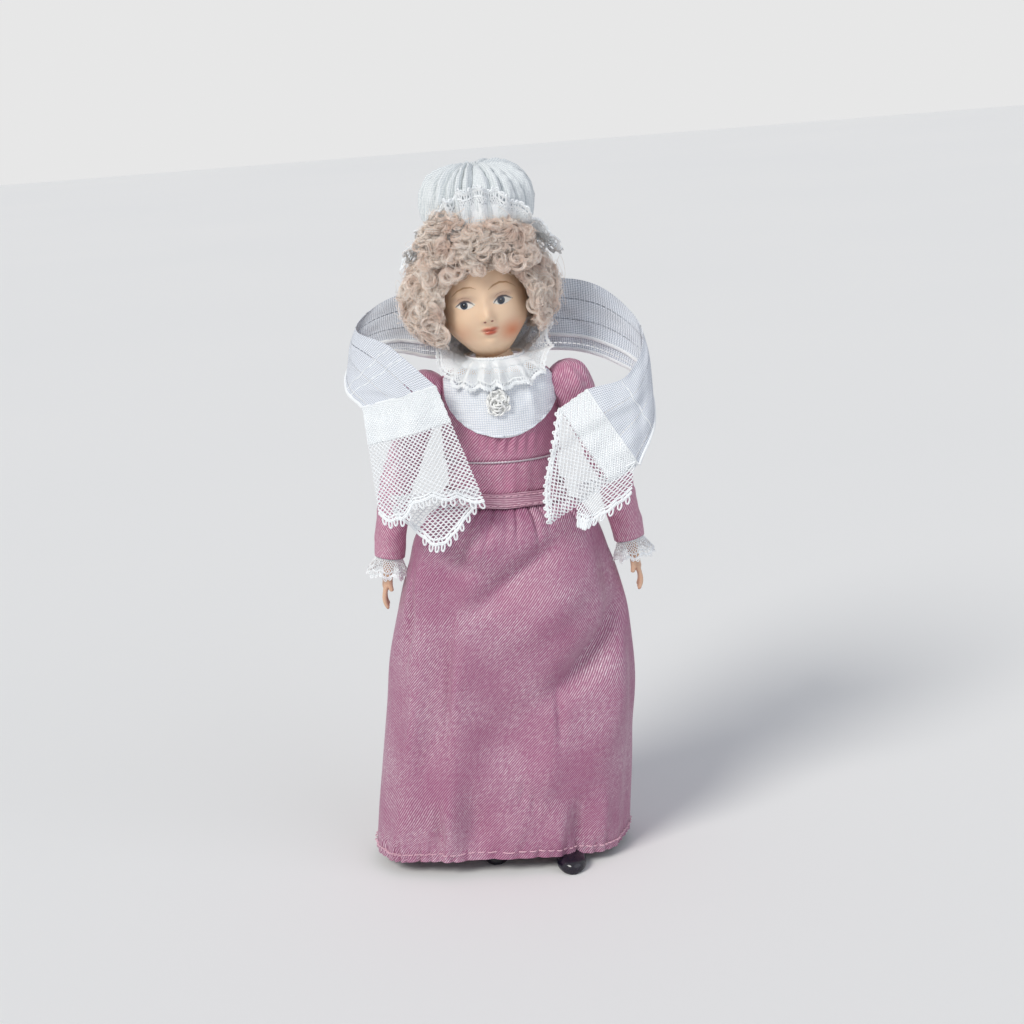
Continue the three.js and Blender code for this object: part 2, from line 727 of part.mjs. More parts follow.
const coreRows = [
  [0, coreRadius, coreRadius],
  [upperArmLength * 0.5, coreRadius * 0.95, coreRadius * 0.95],
  [upperArmLength, coreRadius, coreRadius],
];

{
  const room = solid(foldRoom(elbowRadius + gap, sleeveRadius * 1.5, upperArmLength * 0.8, elbowPivot, -1));
  const sleeve = solid(hung(limb(upperSleeveRows, shoulderRadius, 16), shoulderPivot, upperArmLean));
  const hollowRows = coreRows.map(([down, wide, deep]) => [down * 1.1, wide + gap, deep + gap]);
  const hollow = solid(hung(limb(hollowRows, coreRadius + gap, 12), shoulderPivot, upperArmLean));
  const core = solid(hung(limb(coreRows, coreRadius, 12), shoulderPivot, upperArmLean));
  pair('sleeve_upper', 'satin', geometryOf(sleeve.subtract(hollow).subtract(room)));
  pair('arm_core_upper', 'calico', geometryOf(core.subtract(room)));
}

const cuffTop = forearmLength - cuffDepth * 0.45;
const sleeveEnd = cuffTop - gap;

{
  const sleeveRows = [
    [0, elbowRadius, elbowRadius],
    [sleeveEnd * 0.5, (elbowRadius + sleeveEndRadius) / 2, (elbowRadius + sleeveEndRadius) / 2],
    [sleeveEnd, sleeveEndRadius, sleeveEndRadius],
  ];
  const forearmTop = elbowRadius * 0.4;
  const forearmAt = smoothRows([
    [0, coreRadius, coreRadius],
    [0.5, coreRadius * 0.92, coreRadius * 0.92],
    [0.85, wristRadius * 1.08, wristRadius * 1.1],
    [1, wristRadius * 0.9, wristRadius * 1.15],
  ]);
  const boreRings = [];
  const armRings = [];
  for (let i = 6; i >= 0; i -= 1) {
    const down = THREE.MathUtils.lerp(forearmTop, forearmLength, i / 6);
    const [wide, deep] = forearmAt(i / 6);
    armRings.push(ellipse(-down, wide, deep, 12));
    boreRings.push(ellipse(-down * 1.02 + gap * 1.5, wide + gap, deep + gap, 12));
  }
  const sleeve = solid(limb(sleeveRows, elbowRadius, 16)).subtract(solid(loft(boreRings)));
  const forearm = solid(loft(armRings)).add(hand());
  pair('sleeve_lower', 'satin', hung(geometryOf(sleeve), elbowPivot, forearmLean));
  pair('forearm', 'bisque', hung(geometryOf(forearm), elbowPivot, forearmLean));
  pair('cuff_lace', 'lace', hung(cuff(), elbowPivot, forearmLean));
}

// The hand hangs with its palm to the body: a flat palm, four grouped fingers and a thumb
function hand() {
  const palmAt = smoothRows([
    [0, wristRadius * 0.85, wristRadius * 1.1],
    [0.5, wristRadius * 0.72, wristRadius * 1.4],
    [1, wristRadius * 0.6, wristRadius * 1.45],
  ]);
  const rings = [];
  for (let i = 4; i >= 0; i -= 1) {
    const [wide, deep] = palmAt(i / 4);
    rings.push(ellipse(-forearmLength + 0.6 - (palmLength + 0.6) * (i / 4), wide, deep, 12));
  }
  let body = solid(loft(rings));
  const knuckles = -forearmLength - palmLength + 0.5;
  const fingerRadius = wristRadius * 0.42;
  const spacing = fingerRadius * 1.75;
  for (let finger = 0; finger < 4; finger += 1) {
    const offset = (finger - 1.5) * spacing;
    const length = fingerLength * (1 - 0.08 * Math.abs(finger - 1.3));
    const start = new THREE.Vector3(0, offset, knuckles);
    const end = new THREE.Vector3(-wristRadius * 0.8, offset * 0.9, knuckles - length);
    body = body.add(solid(digit(start, end, fingerRadius)));
  }
  const thumbStart = new THREE.Vector3(-wristRadius * 0.2, -wristRadius * 0.7, -forearmLength - palmLength * 0.2);
  const thumbEnd = new THREE.Vector3(-wristRadius * 0.8, -wristRadius * 2.1, -forearmLength - palmLength * 0.95);
  return body.add(solid(digit(thumbStart, thumbEnd, fingerRadius * 1.15)));
}

// A finger, thicker at its root and bent a little inwards
function digit(start, end, radius) {
  const bend = start.clone().lerp(end, 0.55).add(new THREE.Vector3(radius * 0.7, 0, 0));
  const path = new THREE.QuadraticBezierCurve3(start, bend, end);
  const rings = [1, 0.9, 0.5, 0].map((share) => {
    const centre = path.getPoint(share);
    const size = radius * (share === 1 ? 0.45 : 1 - 0.15 * share);
    return ellipse(centre.z, size, size, 6, centre.x, centre.y);
  });
  return loft(rings);
}

// The cuff is a short frill of lace round the wrist
function cuff() {
  const pointAt = (u, v) => {
    const turn = -2 * Math.PI * u;
    const ruffle = 1 + 0.06 * v * Math.sin(9 * turn);
    const radius = (wristRadius * 1.25 + gap + lace / 2 + cuffFlare * v) * ruffle;
    return new THREE.Vector3(radius * Math.cos(turn), radius * Math.sin(turn), -cuffTop - cuffDepth * v);
  };
  return sheet(pointAt, lace, 36, 1, true);
}

// Head. Its pieces are modelled about the neck pivot, upright, and lean together

const headLeaf = new THREE.Matrix4().makeRotationY(-rad(headLean)).setPosition(neckPivot);

function addLeaning(name, finish, geometry) {
  add(name, finish, geometry.clone().applyMatrix4(headLeaf));
}

const hump = (x, z, x0, z0, wide, tall) => Math.exp(-(((x - x0) / wide) ** 2) - (((z - z0) / tall) ** 2));

// Where the face swells forwards, at a point on its front; the eyes lie in soft hollows
function faceRelief(x, z) {
  const eyeLine = headCentreUp - headHalfHeight * 0.035;
  const noseLine = headCentreUp - headHalfHeight * 0.25;
  const lipLine = headCentreUp - headHalfHeight * 0.47;
  const chinLine = headCentreUp - headHalfHeight * 0.73;
  const side = Math.abs(x);
  const third = faceHalfWidth * 0.38;
  return noseHeight * hump(x, z, 0, noseLine, 1.15, 1.5)
    + noseHeight * 0.45 * hump(x, z, 0, noseLine + 2.4, 0.9, 2)
    - 0.55 * hump(side, z, third, eyeLine, 1.9, 1.1)
    + 0.25 * hump(side, z, third * 1.05, eyeLine + 2.4, 2.6, 0.9)
    + 0.45 * hump(side, z, third * 1.35, noseLine - 0.4, 2.4, 2.4)
    + 0.5 * hump(x, z, 0, lipLine, 1.7, 0.75)
    + 0.6 * hump(x, z, 0, chinLine, 2, 1.3);
}

// How full the face is at a share of its height from chin to crown, against a plain oval
const fullness = smoothRows([
  [0, 0.8],
  [0.12, 0.82],
  [0.2, 0.94],
  [0.27, 1.03],
  [0.36, 1.05],
  [0.5, 1.02],
  [0.75, 1],
  [1, 1],
]);

// The skull and face as one swelling form; grow moves its surface outwards
function skull(grow, around, levels) {
  const rings = [];
  for (let i = 1; i < levels; i += 1) {
    const lift = -Math.cos((Math.PI * i) / levels);
    const ringSize = Math.sin((Math.PI * i) / levels);
    const low = Math.max(0, -lift);
    const [jaw] = fullness((1 + lift) / 2);
    const nape = 1 - 0.3 * low ** 1.5;
    const z = headCentreUp + (headHalfHeight + grow) * lift;
    rings.push(Array.from({ length: around }, (_, k) => {
      const even = (2 * Math.PI * k) / around;
      const turn = even + 0.35 * Math.cos(even);
      const x = (faceHalfWidth + grow) * ringSize ** 0.9 * jaw * Math.cos(turn);
      const sideways = Math.sin(turn);
      const depth = (headHalfDepth + grow) * ringSize ** 0.9 * sideways;
      const relief = sideways < 0 ? faceRelief(x, z) * Math.min(1, -sideways * 1.6) : 0;
      const y = (sideways < 0 ? depth * (1 - 0.04 * low) : depth * nape) - relief;
      return new THREE.Vector3(x, y - neckSetback * 0.4, z);
    }));
  }
  return loft(rings);
}

const cavity = {
  wide: faceHalfWidth - headWall,
  deep: headHalfDepth - headWall,
  high: headHalfHeight - headWall * 1.4,
};
const cavityFloor = headCentreUp - cavity.high;

{
  const neckBall = solid(ball(neckBallRadius, new THREE.Vector3()));
  const neck = rod(neckRadius, 0, headCentreUp * 0.7, 0, 0, 16);
  const hollow = solid(ball(1, new THREE.Vector3(), 14).scale(cavity.wide * 0.82, cavity.deep * 0.86, cavity.high)
    .translate(0, 0, headCentreUp));
  const bore = rod(wireRadius + gap, -neckBallRadius - 1, headCentreUp, 0, 0, 12);
  const head = solid(skull(0, 28, 15)).add(neckBall).add(solid(neck)).subtract(hollow).subtract(solid(bore));
  addLeaning('head_bisque', 'bisque', geometryOf(head));

  // The neck wire runs up the bore to a washer that holds the head down
  const stem = rod(wireRadius, -neckBallRadius - 1, cavityFloor + 2.4, 0, 0, 12);
  const washer = rod(wireRadius * 3, cavityFloor + 1.2, cavityFloor + 2, 0, 0, 16);
  addLeaning('neck_wire', 'wire', geometryOf(solid(stem).add(solid(washer))));
}

// The mohair wig is a lumpy mass, open at the face
const hairCentreUp = headCentreUp + 0.3;

{
  const around = 28;
  const levels = 12;
  const rings = [];
  for (let i = 1; i < levels; i += 1) {
    const polar = (Math.PI * i) / levels;
    rings.push(Array.from({ length: around }, (_, k) => {
      const turn = (2 * Math.PI * k) / around;
      const broad = 0.035 * Math.sin(7 * turn + 3 * polar) * Math.sin(polar);
      const size = Math.sin(polar) ** 0.85 * (1 + broad + 0.03 * Math.sin(5 * turn - 6 * polar));
      const x = hairShift + hairHalfWidth * size * Math.cos(turn);
      const z = hairCentreUp - hairHalfHeight * Math.cos(polar);
      return new THREE.Vector3(x, hairHalfDepth * size * Math.sin(turn), z);
    }));
  }
  const face = new THREE.Shape();
  const half = faceHalfWidth + gap;
  face.moveTo(-half, -10);
  face.lineTo(-half, hairFringe - half * 0.6);
  face.absellipse(0, hairFringe - half * 0.6, half, half * 0.6, Math.PI, 0, true);
  face.lineTo(half, -10);
  face.closePath();
  const window = new THREE.ExtrudeGeometry(face, { depth: 40, bevelEnabled: false, curveSegments: 10 });
  window.rotateX(Math.PI / 2);
  const nape = rod(neckBallRadius + 2, -10, headCentreUp, 0, 0, 20);
  const curlsEnd = block(-30, 30, -30, 30, -20, headCentreUp - hairDrop);
  const wig = solid(loft(rings)).subtract(solid(skull(gap * 1.8, 24, 12))).subtract(solid(window))
    .subtract(solid(nape)).subtract(solid(curlsEnd));
  addLeaning('wig', 'hair', geometryOf(wig));
}

// The mob cap is a puffed crown drawn in by gathers, with a band and a lace frill. Its pieces are modelled upright
// about the middle of the band's lower edge
{
  const leaf = new THREE.Matrix4().makeRotationY(-rad(capLean));
  leaf.setPosition(capShift, neckSetback, neckHeight + capSeat);
  const addOnCap = (name, finish, geometry) => add(name, finish, geometry.clone().applyMatrix4(leaf));
  const deep = 0.94;
  const bandRadius = capHalfWidth * 0.84;
  const crownFoot = bandHeight + gap;
  const count = capGathers * 2;
  const crownAt = smoothRows([
    [0, 0.84],
    [0.12, 0.93],
    [0.35, 1],
    [0.6, 0.97],
    [0.8, 0.8],
    [0.93, 0.52],
    [1, 0.2],
  ]);
  const rings = [0, 0.1, 0.25, 0.45, 0.65, 0.82, 0.94, 1].map((share) => {
    const [size] = crownAt(share);
    return Array.from({ length: count }, (_, k) => {
      const turn = (2 * Math.PI * k) / count;
      const gather = 1 + (k % 2 ? -0.035 : 0.035) * (1 - 0.5 * share);
      const radius = capHalfWidth * size * gather;
      return new THREE.Vector3(radius * Math.cos(turn), radius * deep * Math.sin(turn),
        crownFoot + (capHeight - crownFoot) * share);
    });
  });
  addOnCap('cap_crown', 'cotton', loft(rings));
  addOnCap('cap_band', 'cotton', loft([0, bandHeight].map((z) => ellipse(z, bandRadius, bandRadius * deep, count))));

  // The frill stands up in front of the crown, and falls outwards at the sides and the back
  const frillSeat = bandRadius + lace + gap + lace / 2;
  const frill = (u, v) => {
    const turn = -2 * Math.PI * u;
    const front = Math.max(0, -Math.sin(turn)) ** 1.5;
    const ruffle = 0.4 * v * Math.sin(frillWaves * turn);
    const upright = frillSeat + frillWidth * 0.5 * (1 - (1 - v) ** 2);
    const fallen = frillSeat + frillWidth * v ** 0.9;
    const radius = THREE.MathUtils.lerp(fallen, upright, front);
    const rise = frillStand * front * v ** 1.3 - frillFall * (1 - front) * v ** 1.5;
    const z = bandHeight - lace + rise + ruffle;
    return new THREE.Vector3(radius * Math.cos(turn), radius * deep * Math.sin(turn), z);
  };
  addOnCap('cap_frill', 'lace', sheet(frill, lace, frillWaves * 3, 2, true));
}

// Stole. It crosses the back, passes outside the upper arms and hangs in front of them

// Each half of the stole, from the middle of the back to its end: the upper and inner edge of the cotton, the lower
// and outer edge, and the free edge of the lace. Places are [x, y, z] about the neck, with x away from the middle.
const stoleSides = {
  left: {
    sign: 1,
    inner: [[0, 15.2, 15.1], [11.5, 14.7, 14.9], [23.5, 11.1, 12.5], [31.4, 2.5, 4],
      [27.3, -6.3, -3.9], [18.6, -8.7, -5.9]],
    outer: [[0, 10.1, -0.6], [12.3, 9.4, 0.4], [22, 4.9, -1.1], [31.3, -0.5, -6.5],
      [32.67, -7, -14], [28.2, -11.1, -22.1]],
    free: [[12.6, -10.5, -9.8], [9.2, -13.2, -21], [7.9, -15.5, -31.8], [16.7, -16.5, -36.1],
      [22.2, -15.2, -32.4], [26.1, -13.5, -28]],
  },
  right: {
    sign: -1,
    inner: [[0, 15.2, 15.1], [11.5, 14.7, 14.9], [22.5, 11, 13], [28.6, 3, 8.7],
      [21.5, -4.1, 5.5], [12.5, -10.7, -2.3]],
    outer: [[0, 10.1, -0.6], [12.3, 9, 0.6], [21.5, 4.5, 3.1], [29.8, 0.5, 1.7],
      [31.2, -5, -2.5], [28, -8.3, -5.9]],
    free: [[4.3, -16.3, -25.9], [8.5, -16.2, -28.5], [14.8, -16.5, -34.4], [19, -16, -29.5],
      [23.2, -15.5, -27.2], [26, -15.3, -26.6]],
  },
};

for (const half of Object.values(stoleSides)) {
  for (const edge of ['inner', 'outer', 'free']) {
    const points = half[edge].map(([x, y, z]) => new THREE.Vector3(half.sign * x, neckSetback + y, neckHeight + z));
    half[edge] = new THREE.CatmullRomCurve3(points);
  }
}

// A point of the cotton, along from the middle of the back to the lace and across from its inner to its outer edge
function stolePoint(half, along, across) {
  const point = half.inner.getPoint(along).lerp(half.outer.getPoint(along), across);
  point.y += stoleFoldDepth * Math.sin(across * Math.PI * 6) * THREE.MathUtils.smoothstep(along, 0.1, 0.7);
  return point;
}

const panel = (u, v) => {
  const along = 2 * v - 1;
  return stolePoint(along < 0 ? stoleSides.right : stoleSides.left, Math.abs(along), 1 - u);
};
add('stole_panel', 'cotton', sheet(panel, cotton, 8, 26));

for (const [side, half] of Object.entries(stoleSides)) {
  const end = (u, v) => {
    const across = half.sign > 0 ? 1 - u : u;
    const seam = stolePoint(half, 1, across);
    const edge = half.free.getPoint(THREE.MathUtils.clamp(across, 0, 1));
    const long = seam.distanceTo(edge);
    const scallop = scallopDepth * Math.abs(Math.sin(Math.PI * scallops * u));
    return seam.lerp(edge, THREE.MathUtils.lerp(stoleSeamGap / long, 1 + scallop / long, v));
  };
  add(`stole_lace_${side}`, 'lace', sheet(end, lace, scallops * 2, 3));
}

// The box round the doll is centred on the origin, and the soles stay on Z = 0
const box = new THREE.Box3().setFromObject(doll);
const centre = box.getCenter(new THREE.Vector3());
doll.position.set(-centre.x, -centre.y, 0);
doll.updateMatrixWorld(true);

export default doll;
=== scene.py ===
"""A 1:12 lady doll in satin gown, mob cap and lace-ended stole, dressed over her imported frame."""

import logging
import math
from collections.abc import Callable
from dataclasses import dataclass, field
from enum import Enum

import bpy
import numpy as np
from mathutils import Matrix, Vector


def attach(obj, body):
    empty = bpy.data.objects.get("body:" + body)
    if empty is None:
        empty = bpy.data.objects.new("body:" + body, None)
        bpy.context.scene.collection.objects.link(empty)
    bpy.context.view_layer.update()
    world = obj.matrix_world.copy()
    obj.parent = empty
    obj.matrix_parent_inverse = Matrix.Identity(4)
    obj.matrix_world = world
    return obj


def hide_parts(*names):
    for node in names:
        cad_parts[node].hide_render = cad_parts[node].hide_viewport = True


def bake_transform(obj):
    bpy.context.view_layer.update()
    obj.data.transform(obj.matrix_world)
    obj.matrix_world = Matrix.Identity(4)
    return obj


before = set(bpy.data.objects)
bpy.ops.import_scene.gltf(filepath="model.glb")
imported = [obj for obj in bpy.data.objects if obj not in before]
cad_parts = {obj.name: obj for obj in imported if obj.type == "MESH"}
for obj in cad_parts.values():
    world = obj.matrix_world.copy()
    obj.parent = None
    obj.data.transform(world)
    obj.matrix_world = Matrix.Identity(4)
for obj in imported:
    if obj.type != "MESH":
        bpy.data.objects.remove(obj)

Array = np.ndarray
Surface = Callable[[Array, Array], Array]
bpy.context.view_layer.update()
MM = 0.001
LOG = logging.getLogger("doll")


class Side(Enum):
    """The doll's own left and right arm or leg, with the sign of its X."""

    LEFT = 1
    RIGHT = -1

    @property
    def word(self) -> str:
        """The side as it stands in node and body names."""
        return self.name.lower()


def linear(colour: str) -> tuple[float, float, float, float]:
    """Turns a colour from sRGB to the linear values that shaders take.

    Args:
        colour: sRGB hex, such as "#D9B49A".

    Returns:
        Linear red, green, blue and a full alpha.
    """
    parts = [int(colour[i : i + 2], 16) / 255 for i in (1, 3, 5)]
    out = [p / 12.92 if p <= 0.04045 else ((p + 0.055) / 1.055) ** 2.4 for p in parts]
    return (out[0], out[1], out[2], 1.0)


def unit(vectors: Array) -> Array:
    """The vectors at length one."""
    return vectors / np.maximum(np.linalg.norm(vectors, axis=-1, keepdims=True), 1e-9)


def ease(value: Array, low: float, high: float) -> Array:
    """A smooth step from 0 at low to 1 at high."""
    t = np.clip((value - low) / (high - low), 0, 1)
    return t * t * (3 - 2 * t)


def rounds(count: int) -> Array:
    """Angles in even steps once round, as a column."""
    return np.linspace(0, 2 * math.pi, count, endpoint=False)[:, None]


def ramp(low: float, high: float, count: int) -> Array:
    """Even steps from low to high, as a row."""
    return np.linspace(low, high, count)[None, :]


def outward(points: Array) -> Array:
    """Normals of a closed grid of points, indexed [round, along], that goes anticlockwise and up."""
    across = np.roll(points, -1, 0) - np.roll(points, 1, 0)
    return unit(np.cross(across, np.gradient(points, axis=1)))


def xyz(x: Array, y: Array, z: Array) -> Array:
    """Three broadcast coordinates as one array of points."""
    return np.stack(np.broadcast_arrays(x, y, z), axis=-1).astype(float)


def circle(radius: Array | float, turn: Array, z: Array | float, deep: float = 1.0) -> Array:
    """Places at a radius and turn round the upright axis, flattened from front to back by deep."""
    return xyz(radius * np.cos(turn), radius * deep * np.sin(turn), z)


def level_out(points: Array) -> Array:
    """Level directions away from the trunk's axis."""
    return unit(points - np.array([0, 1, 0]) - points * [0, 0, 1])


def swell(points: Array, size: float, seed: int, waves: int = 9) -> Array:
    """A smooth seeded unevenness over space.

    Args:
        points: places in millimetres, in any number of dimensions.
        size: the usual distance between two swellings, in millimetres.
        seed: picks the pattern.
        waves: how many waves are added.

    Returns:
        Values of about -1 to 1.
    """
    random = np.random.default_rng(seed)
    total = np.zeros(points.shape[:-1])
    for _ in range(waves):
        way = unit(random.normal(size=points.shape[-1]))
        length = size * random.uniform(0.7, 1.6)
        total += np.sin(points @ way * (2 * math.pi / length) + random.uniform(0, 2 * math.pi))
    return total / math.sqrt(waves)


@dataclass(frozen=True)
class Rows:
    """A smooth curve through rows of (place, value, value ...)."""

    rows: tuple[tuple[float, ...], ...]

    def at(self, place: Array) -> Array:
        """Reads the curve.

        Args:
            place: places of any shape; beyond the ends the end value holds.

        Returns:
            The values, on a last axis of their own.
        """
        table = np.array(self.rows, float)
        x, y = table[:, 0], table[:, 1:]
        slope = np.gradient(y, x, axis=0)
        place = np.asarray(place, float)
        i = np.clip(np.searchsorted(x, place) - 1, 0, len(x) - 2)
        step = (x[i + 1] - x[i])[..., None]
        t = np.clip((place[..., None] - x[i][..., None]) / step, 0, 1)
        first = (1 + 2 * t) * (1 - t) ** 2 * y[i] + t * (1 - t) ** 2 * step * slope[i]
        return first + t * t * (3 - 2 * t) * y[i + 1] + t * t * (t - 1) * step * slope[i + 1]


@dataclass
class Shape:
    """Points in millimetres, faces of four corners (-1 where a face has three), and fields on the points."""

    points: Array
    faces: Array
    fields: dict[str, Array] = field(default_factory=dict)
    rounded: bool = True

    @classmethod
    def grid(cls, points: Array, around: bool = False, **fields: Array) -> "Shape":
        """Faces between neighbours of a grid of points.

        Args:
            points: places, indexed [along u, along v].
            around: joins the last column along u to the first.
            fields: values on the same grid.

        Returns:
            The sheet.
        """
        wide, high = points.shape[:2]
        i = np.arange(wide if around else wide - 1)[:, None]
        j = np.arange(high - 1)[None, :]
        k = (i + 1) % wide
        faces = np.stack([i * high + j, k * high + j, k * high + j + 1, i * high + j + 1], -1)
        flat = {}
        for name, values in fields.items():
            rows = values.reshape(wide * high, -1)
            flat[name] = rows[:, 0] if values.ndim == 2 else rows
        return cls(points.reshape(-1, 3), faces.reshape(-1, 4), flat)

    @classmethod
    def tubes(cls, paths: Array, radius: Array | float, sides: int = 4, looped: bool = False) -> "Shape":
        """Round threads along paths of equal count.

        Args:
            paths: places, indexed [thread, point].
            radius: one radius, or one for each point.
            sides: corners of the thread's section.
            looped: joins the end of each path to its start.

        Returns:
            The threads, with fields "along" from 0 to 1 and "strand", a seeded value for each.
        """
        count, steps = paths.shape[:2]
        ahead = np.roll(paths, -1, 1) - np.roll(paths, 1, 1)
        if not looped:
            ahead[:, 0] = paths[:, 1] - paths[:, 0]
            ahead[:, -1] = paths[:, -1] - paths[:, -2]
        ahead = unit(ahead)
        across = np.zeros_like(paths)
        pick = np.where(np.abs(ahead[:, 0, 2:3]) < 0.8, np.array([0.0, 0.0, 1.0]), np.array([1.0, 0.0, 0.0]))
        across[:, 0] = unit(np.cross(ahead[:, 0], pick))
        for j in range(1, steps):
            last = across[:, j - 1]
            across[:, j] = unit(last - (last * ahead[:, j]).sum(-1, keepdims=True) * ahead[:, j])
        other = np.cross(ahead, across)
        size = np.broadcast_to(np.asarray(radius, float), (count, steps))[:, :, None, None]
        turn = np.arange(sides) * (2 * math.pi / sides)
        ring = np.cos(turn)[:, None] * across[:, :, None] + np.sin(turn)[:, None] * other[:, :, None]
        points = paths[:, :, None] + size * ring
        s = np.arange(count)[:, None, None] * steps
        j = np.arange(steps if looped else steps - 1)[None, :, None]
        k = np.arange(sides)[None, None, :]
        low, high, beside = (s + j) * sides, (s + (j + 1) % steps) * sides, (k + 1) % sides
        faces = np.stack([low + k, low + beside, high + beside, high + k], -1).reshape(-1, 4)
        strand = np.random.default_rng(count + steps).uniform(size=count)
        fields = {
            "along": np.broadcast_to(np.linspace(0, 1, steps)[None, :, None], (count, steps, sides)).ravel(),
            "strand": np.broadcast_to(strand[:, None, None], (count, steps, sides)).ravel(),
        }
        return cls(points.reshape(-1, 3), faces, fields, rounded=sides > 4)

    @classmethod
    def join(cls, shapes: list["Shape"]) -> "Shape":
        """Joins shapes.

        Args:
            shapes: what is joined.

        Returns:
            All of them as one, with 0 where one lacks a field that another has.
        """
        starts = np.cumsum([0] + [len(s.points) for s in shapes[:-1]])
        faces = [np.where(s.faces < 0, -1, s.faces + start) for s, start in zip(shapes, starts)]
        fields = {}
        for name in sorted({name for s in shapes for name in s.fields}):
            wide = next(s.fields[name] for s in shapes if name in s.fields).shape[1:]
            parts = [s.fields.get(name, np.zeros((len(s.points), *wide))) for s in shapes]
            fields[name] = np.concatenate(parts)
        rounded = all(s.rounded for s in shapes)
        return cls(np.concatenate([s.points for s in shapes]), np.concatenate(faces), fields, rounded)

    @classmethod
    def shell(cls, points: Array, normals: Array, thickness: float, **fields: Array) -> "Shape":
        """A closed cloth tube with an outer and an inner skin, which keeps the normals it is given.

        Args:
            points: places, indexed [round, along].
            normals: outward directions on the same grid.
            thickness: the cloth's, in millimetres.
            fields: values on the same grid.

        Returns:
            The cloth, with a field "normal".
        """
        outer = cls.grid(points, around=True, normal=normals, **fields)
        inner = cls.grid(points - normals * thickness, around=True, normal=-normals, **fields)
        inner.faces = inner.faces[:, ::-1]
        both = cls.join([outer, inner])
        wide, high = points.shape[:2]
        rims = []
        for row in (0, high - 1):
            ring = np.arange(wide) * high + row
            after, depth = np.roll(ring, -1), wide * high
            low = [ring, ring + depth, after + depth, after]
            rims.append(np.stack(low if row == 0 else [ring, *low[:0:-1]], -1))
        both.faces = np.concatenate([both.faces, *rims])
        return both

    def capped(self, wide: int, high: int) -> "Shape":
        """Closes a grid at its first and last row by fans of triangles.

        Args:
            wide: the grid's columns.
            high: the grid's rows.

        Returns:
            The closed shape.
        """
        points, faces = [self.points], [self.faces]
        for row in (0, high - 1):
            ring = np.arange(wide) * high + row
            points.append(self.points[ring].mean(0, keepdims=True))
            middle = sum(len(p) for p in points) - 1
            after = np.roll(ring, -1)
            corners = (after, ring) if row == 0 else (ring, after)
            faces.append(np.stack([np.full(wide, middle), *corners, np.full(wide, -1)], -1))
        fields = {n: np.concatenate([f, np.repeat(f[:1], 2, 0)]) for n, f in self.fields.items()}
        return Shape(np.concatenate(points), np.concatenate(faces), fields)

    def mesh(self, name: str) -> bpy.types.Mesh:
        """Makes the shape's mesh. Fine threads are shaded flat, because their few sides would darken.

        Args:
            name: the mesh's name.

        Returns:
            The mesh in metres, with the shape's fields as attributes.
        """
        mesh = bpy.data.meshes.new(name)
        mesh.vertices.add(len(self.points))
        mesh.vertices.foreach_set("co", (self.points * MM).astype(np.float32).ravel())
        corner = self.faces >= 0
        totals = corner.sum(1)
        mesh.loops.add(int(totals.sum()))
        mesh.loops.foreach_set("vertex_index", self.faces[corner].astype(np.int32))
        mesh.polygons.add(len(self.faces))
        starts = np.concatenate([[0], np.cumsum(totals)[:-1]])
        mesh.polygons.foreach_set("loop_start", starts.astype(np.int32))
        mesh.polygons.foreach_set("use_smooth", np.full(len(self.faces), self.rounded))
        for title, values in self.fields.items():
            if title == "normal":
                continue
            flat = values.ndim == 1
            made = mesh.attributes.new(title, "FLOAT" if flat else "FLOAT_VECTOR", "POINT")
            made.data.foreach_set("value" if flat else "vector", values.astype(np.float32).ravel())
        mesh.update()
        mesh.validate()
        if "normal" in self.fields:
            mesh.normals_split_custom_set_from_vertices(self.fields["normal"].tolist())
        return mesh


class Graph:
    """The node tree of a material or a world in the making."""

    def __init__(self, owner: bpy.types.Material | bpy.types.World) -> None:
        """Empties the owner's node tree.

        Args:
            owner: the material or world.
        """
        owner.use_nodes = True
        self.tree = owner.node_tree
        self.tree.nodes.clear()

    def add(self, kind: str, inputs: dict | None = None, **settings: object) -> bpy.types.Node:
        """Adds a node with its settings and links.

        Args:
            kind: the node's type, without ShaderNode.
            inputs: for each socket, by name or number, a value, a colour as hex, a node (its first socket) or
                a (node, socket name) pair.
            settings: the node's own properties.

        Returns:
            The node.
        """
        node = self.tree.nodes.new("ShaderNode" + kind)
        for key, value in settings.items():
            setattr(node, key, value)
        for key, value in (inputs or {}).items():
            sockets = [s for s in node.inputs if s.enabled]
            socket = sockets[key] if isinstance(key, int) else next(s for s in sockets if s.name == key)
            if isinstance(value, tuple) and isinstance(value[0], bpy.types.Node):
                self.tree.links.new(value[0].outputs[value[1]], socket)
            elif isinstance(value, bpy.types.Node):
                self.tree.links.new(next(s for s in value.outputs if s.enabled), socket)
            else:
                socket.default_value = linear(value) if isinstance(value, str) else value
        return node


@dataclass(frozen=True)
class Finish:
    """A surface as it was made. Each kind paints its own material."""

    name: str

    def paint(self, g: Graph) -> bpy.types.Node:
        """Makes the finish's nodes.

        Args:
            g: the material's graph.

        Returns:
            The shader.
        """
        raise NotImplementedError

    def material(self) -> bpy.types.Material:
        """Makes the finish's material once, under a name that no CAD material has.

        Returns:
            The material.
        """
        found = bpy.data.materials.get(self.name)
        if found is None:
            found = bpy.data.materials.new(self.name)
            g = Graph(found)
            g.add("OutputMaterial", {"Surface": self.paint(g)})
        return found


@dataclass(frozen=True)
class PaintCoat:
    """One coat of colour on the bisque, mostly china paint, though two face coats are painted shade and a
    painted highlight: where it goes is a field of distances in millimetres, below 0 inside.
    """

    title: str
    colour: str
    softness: float
    strength: float = 1.0


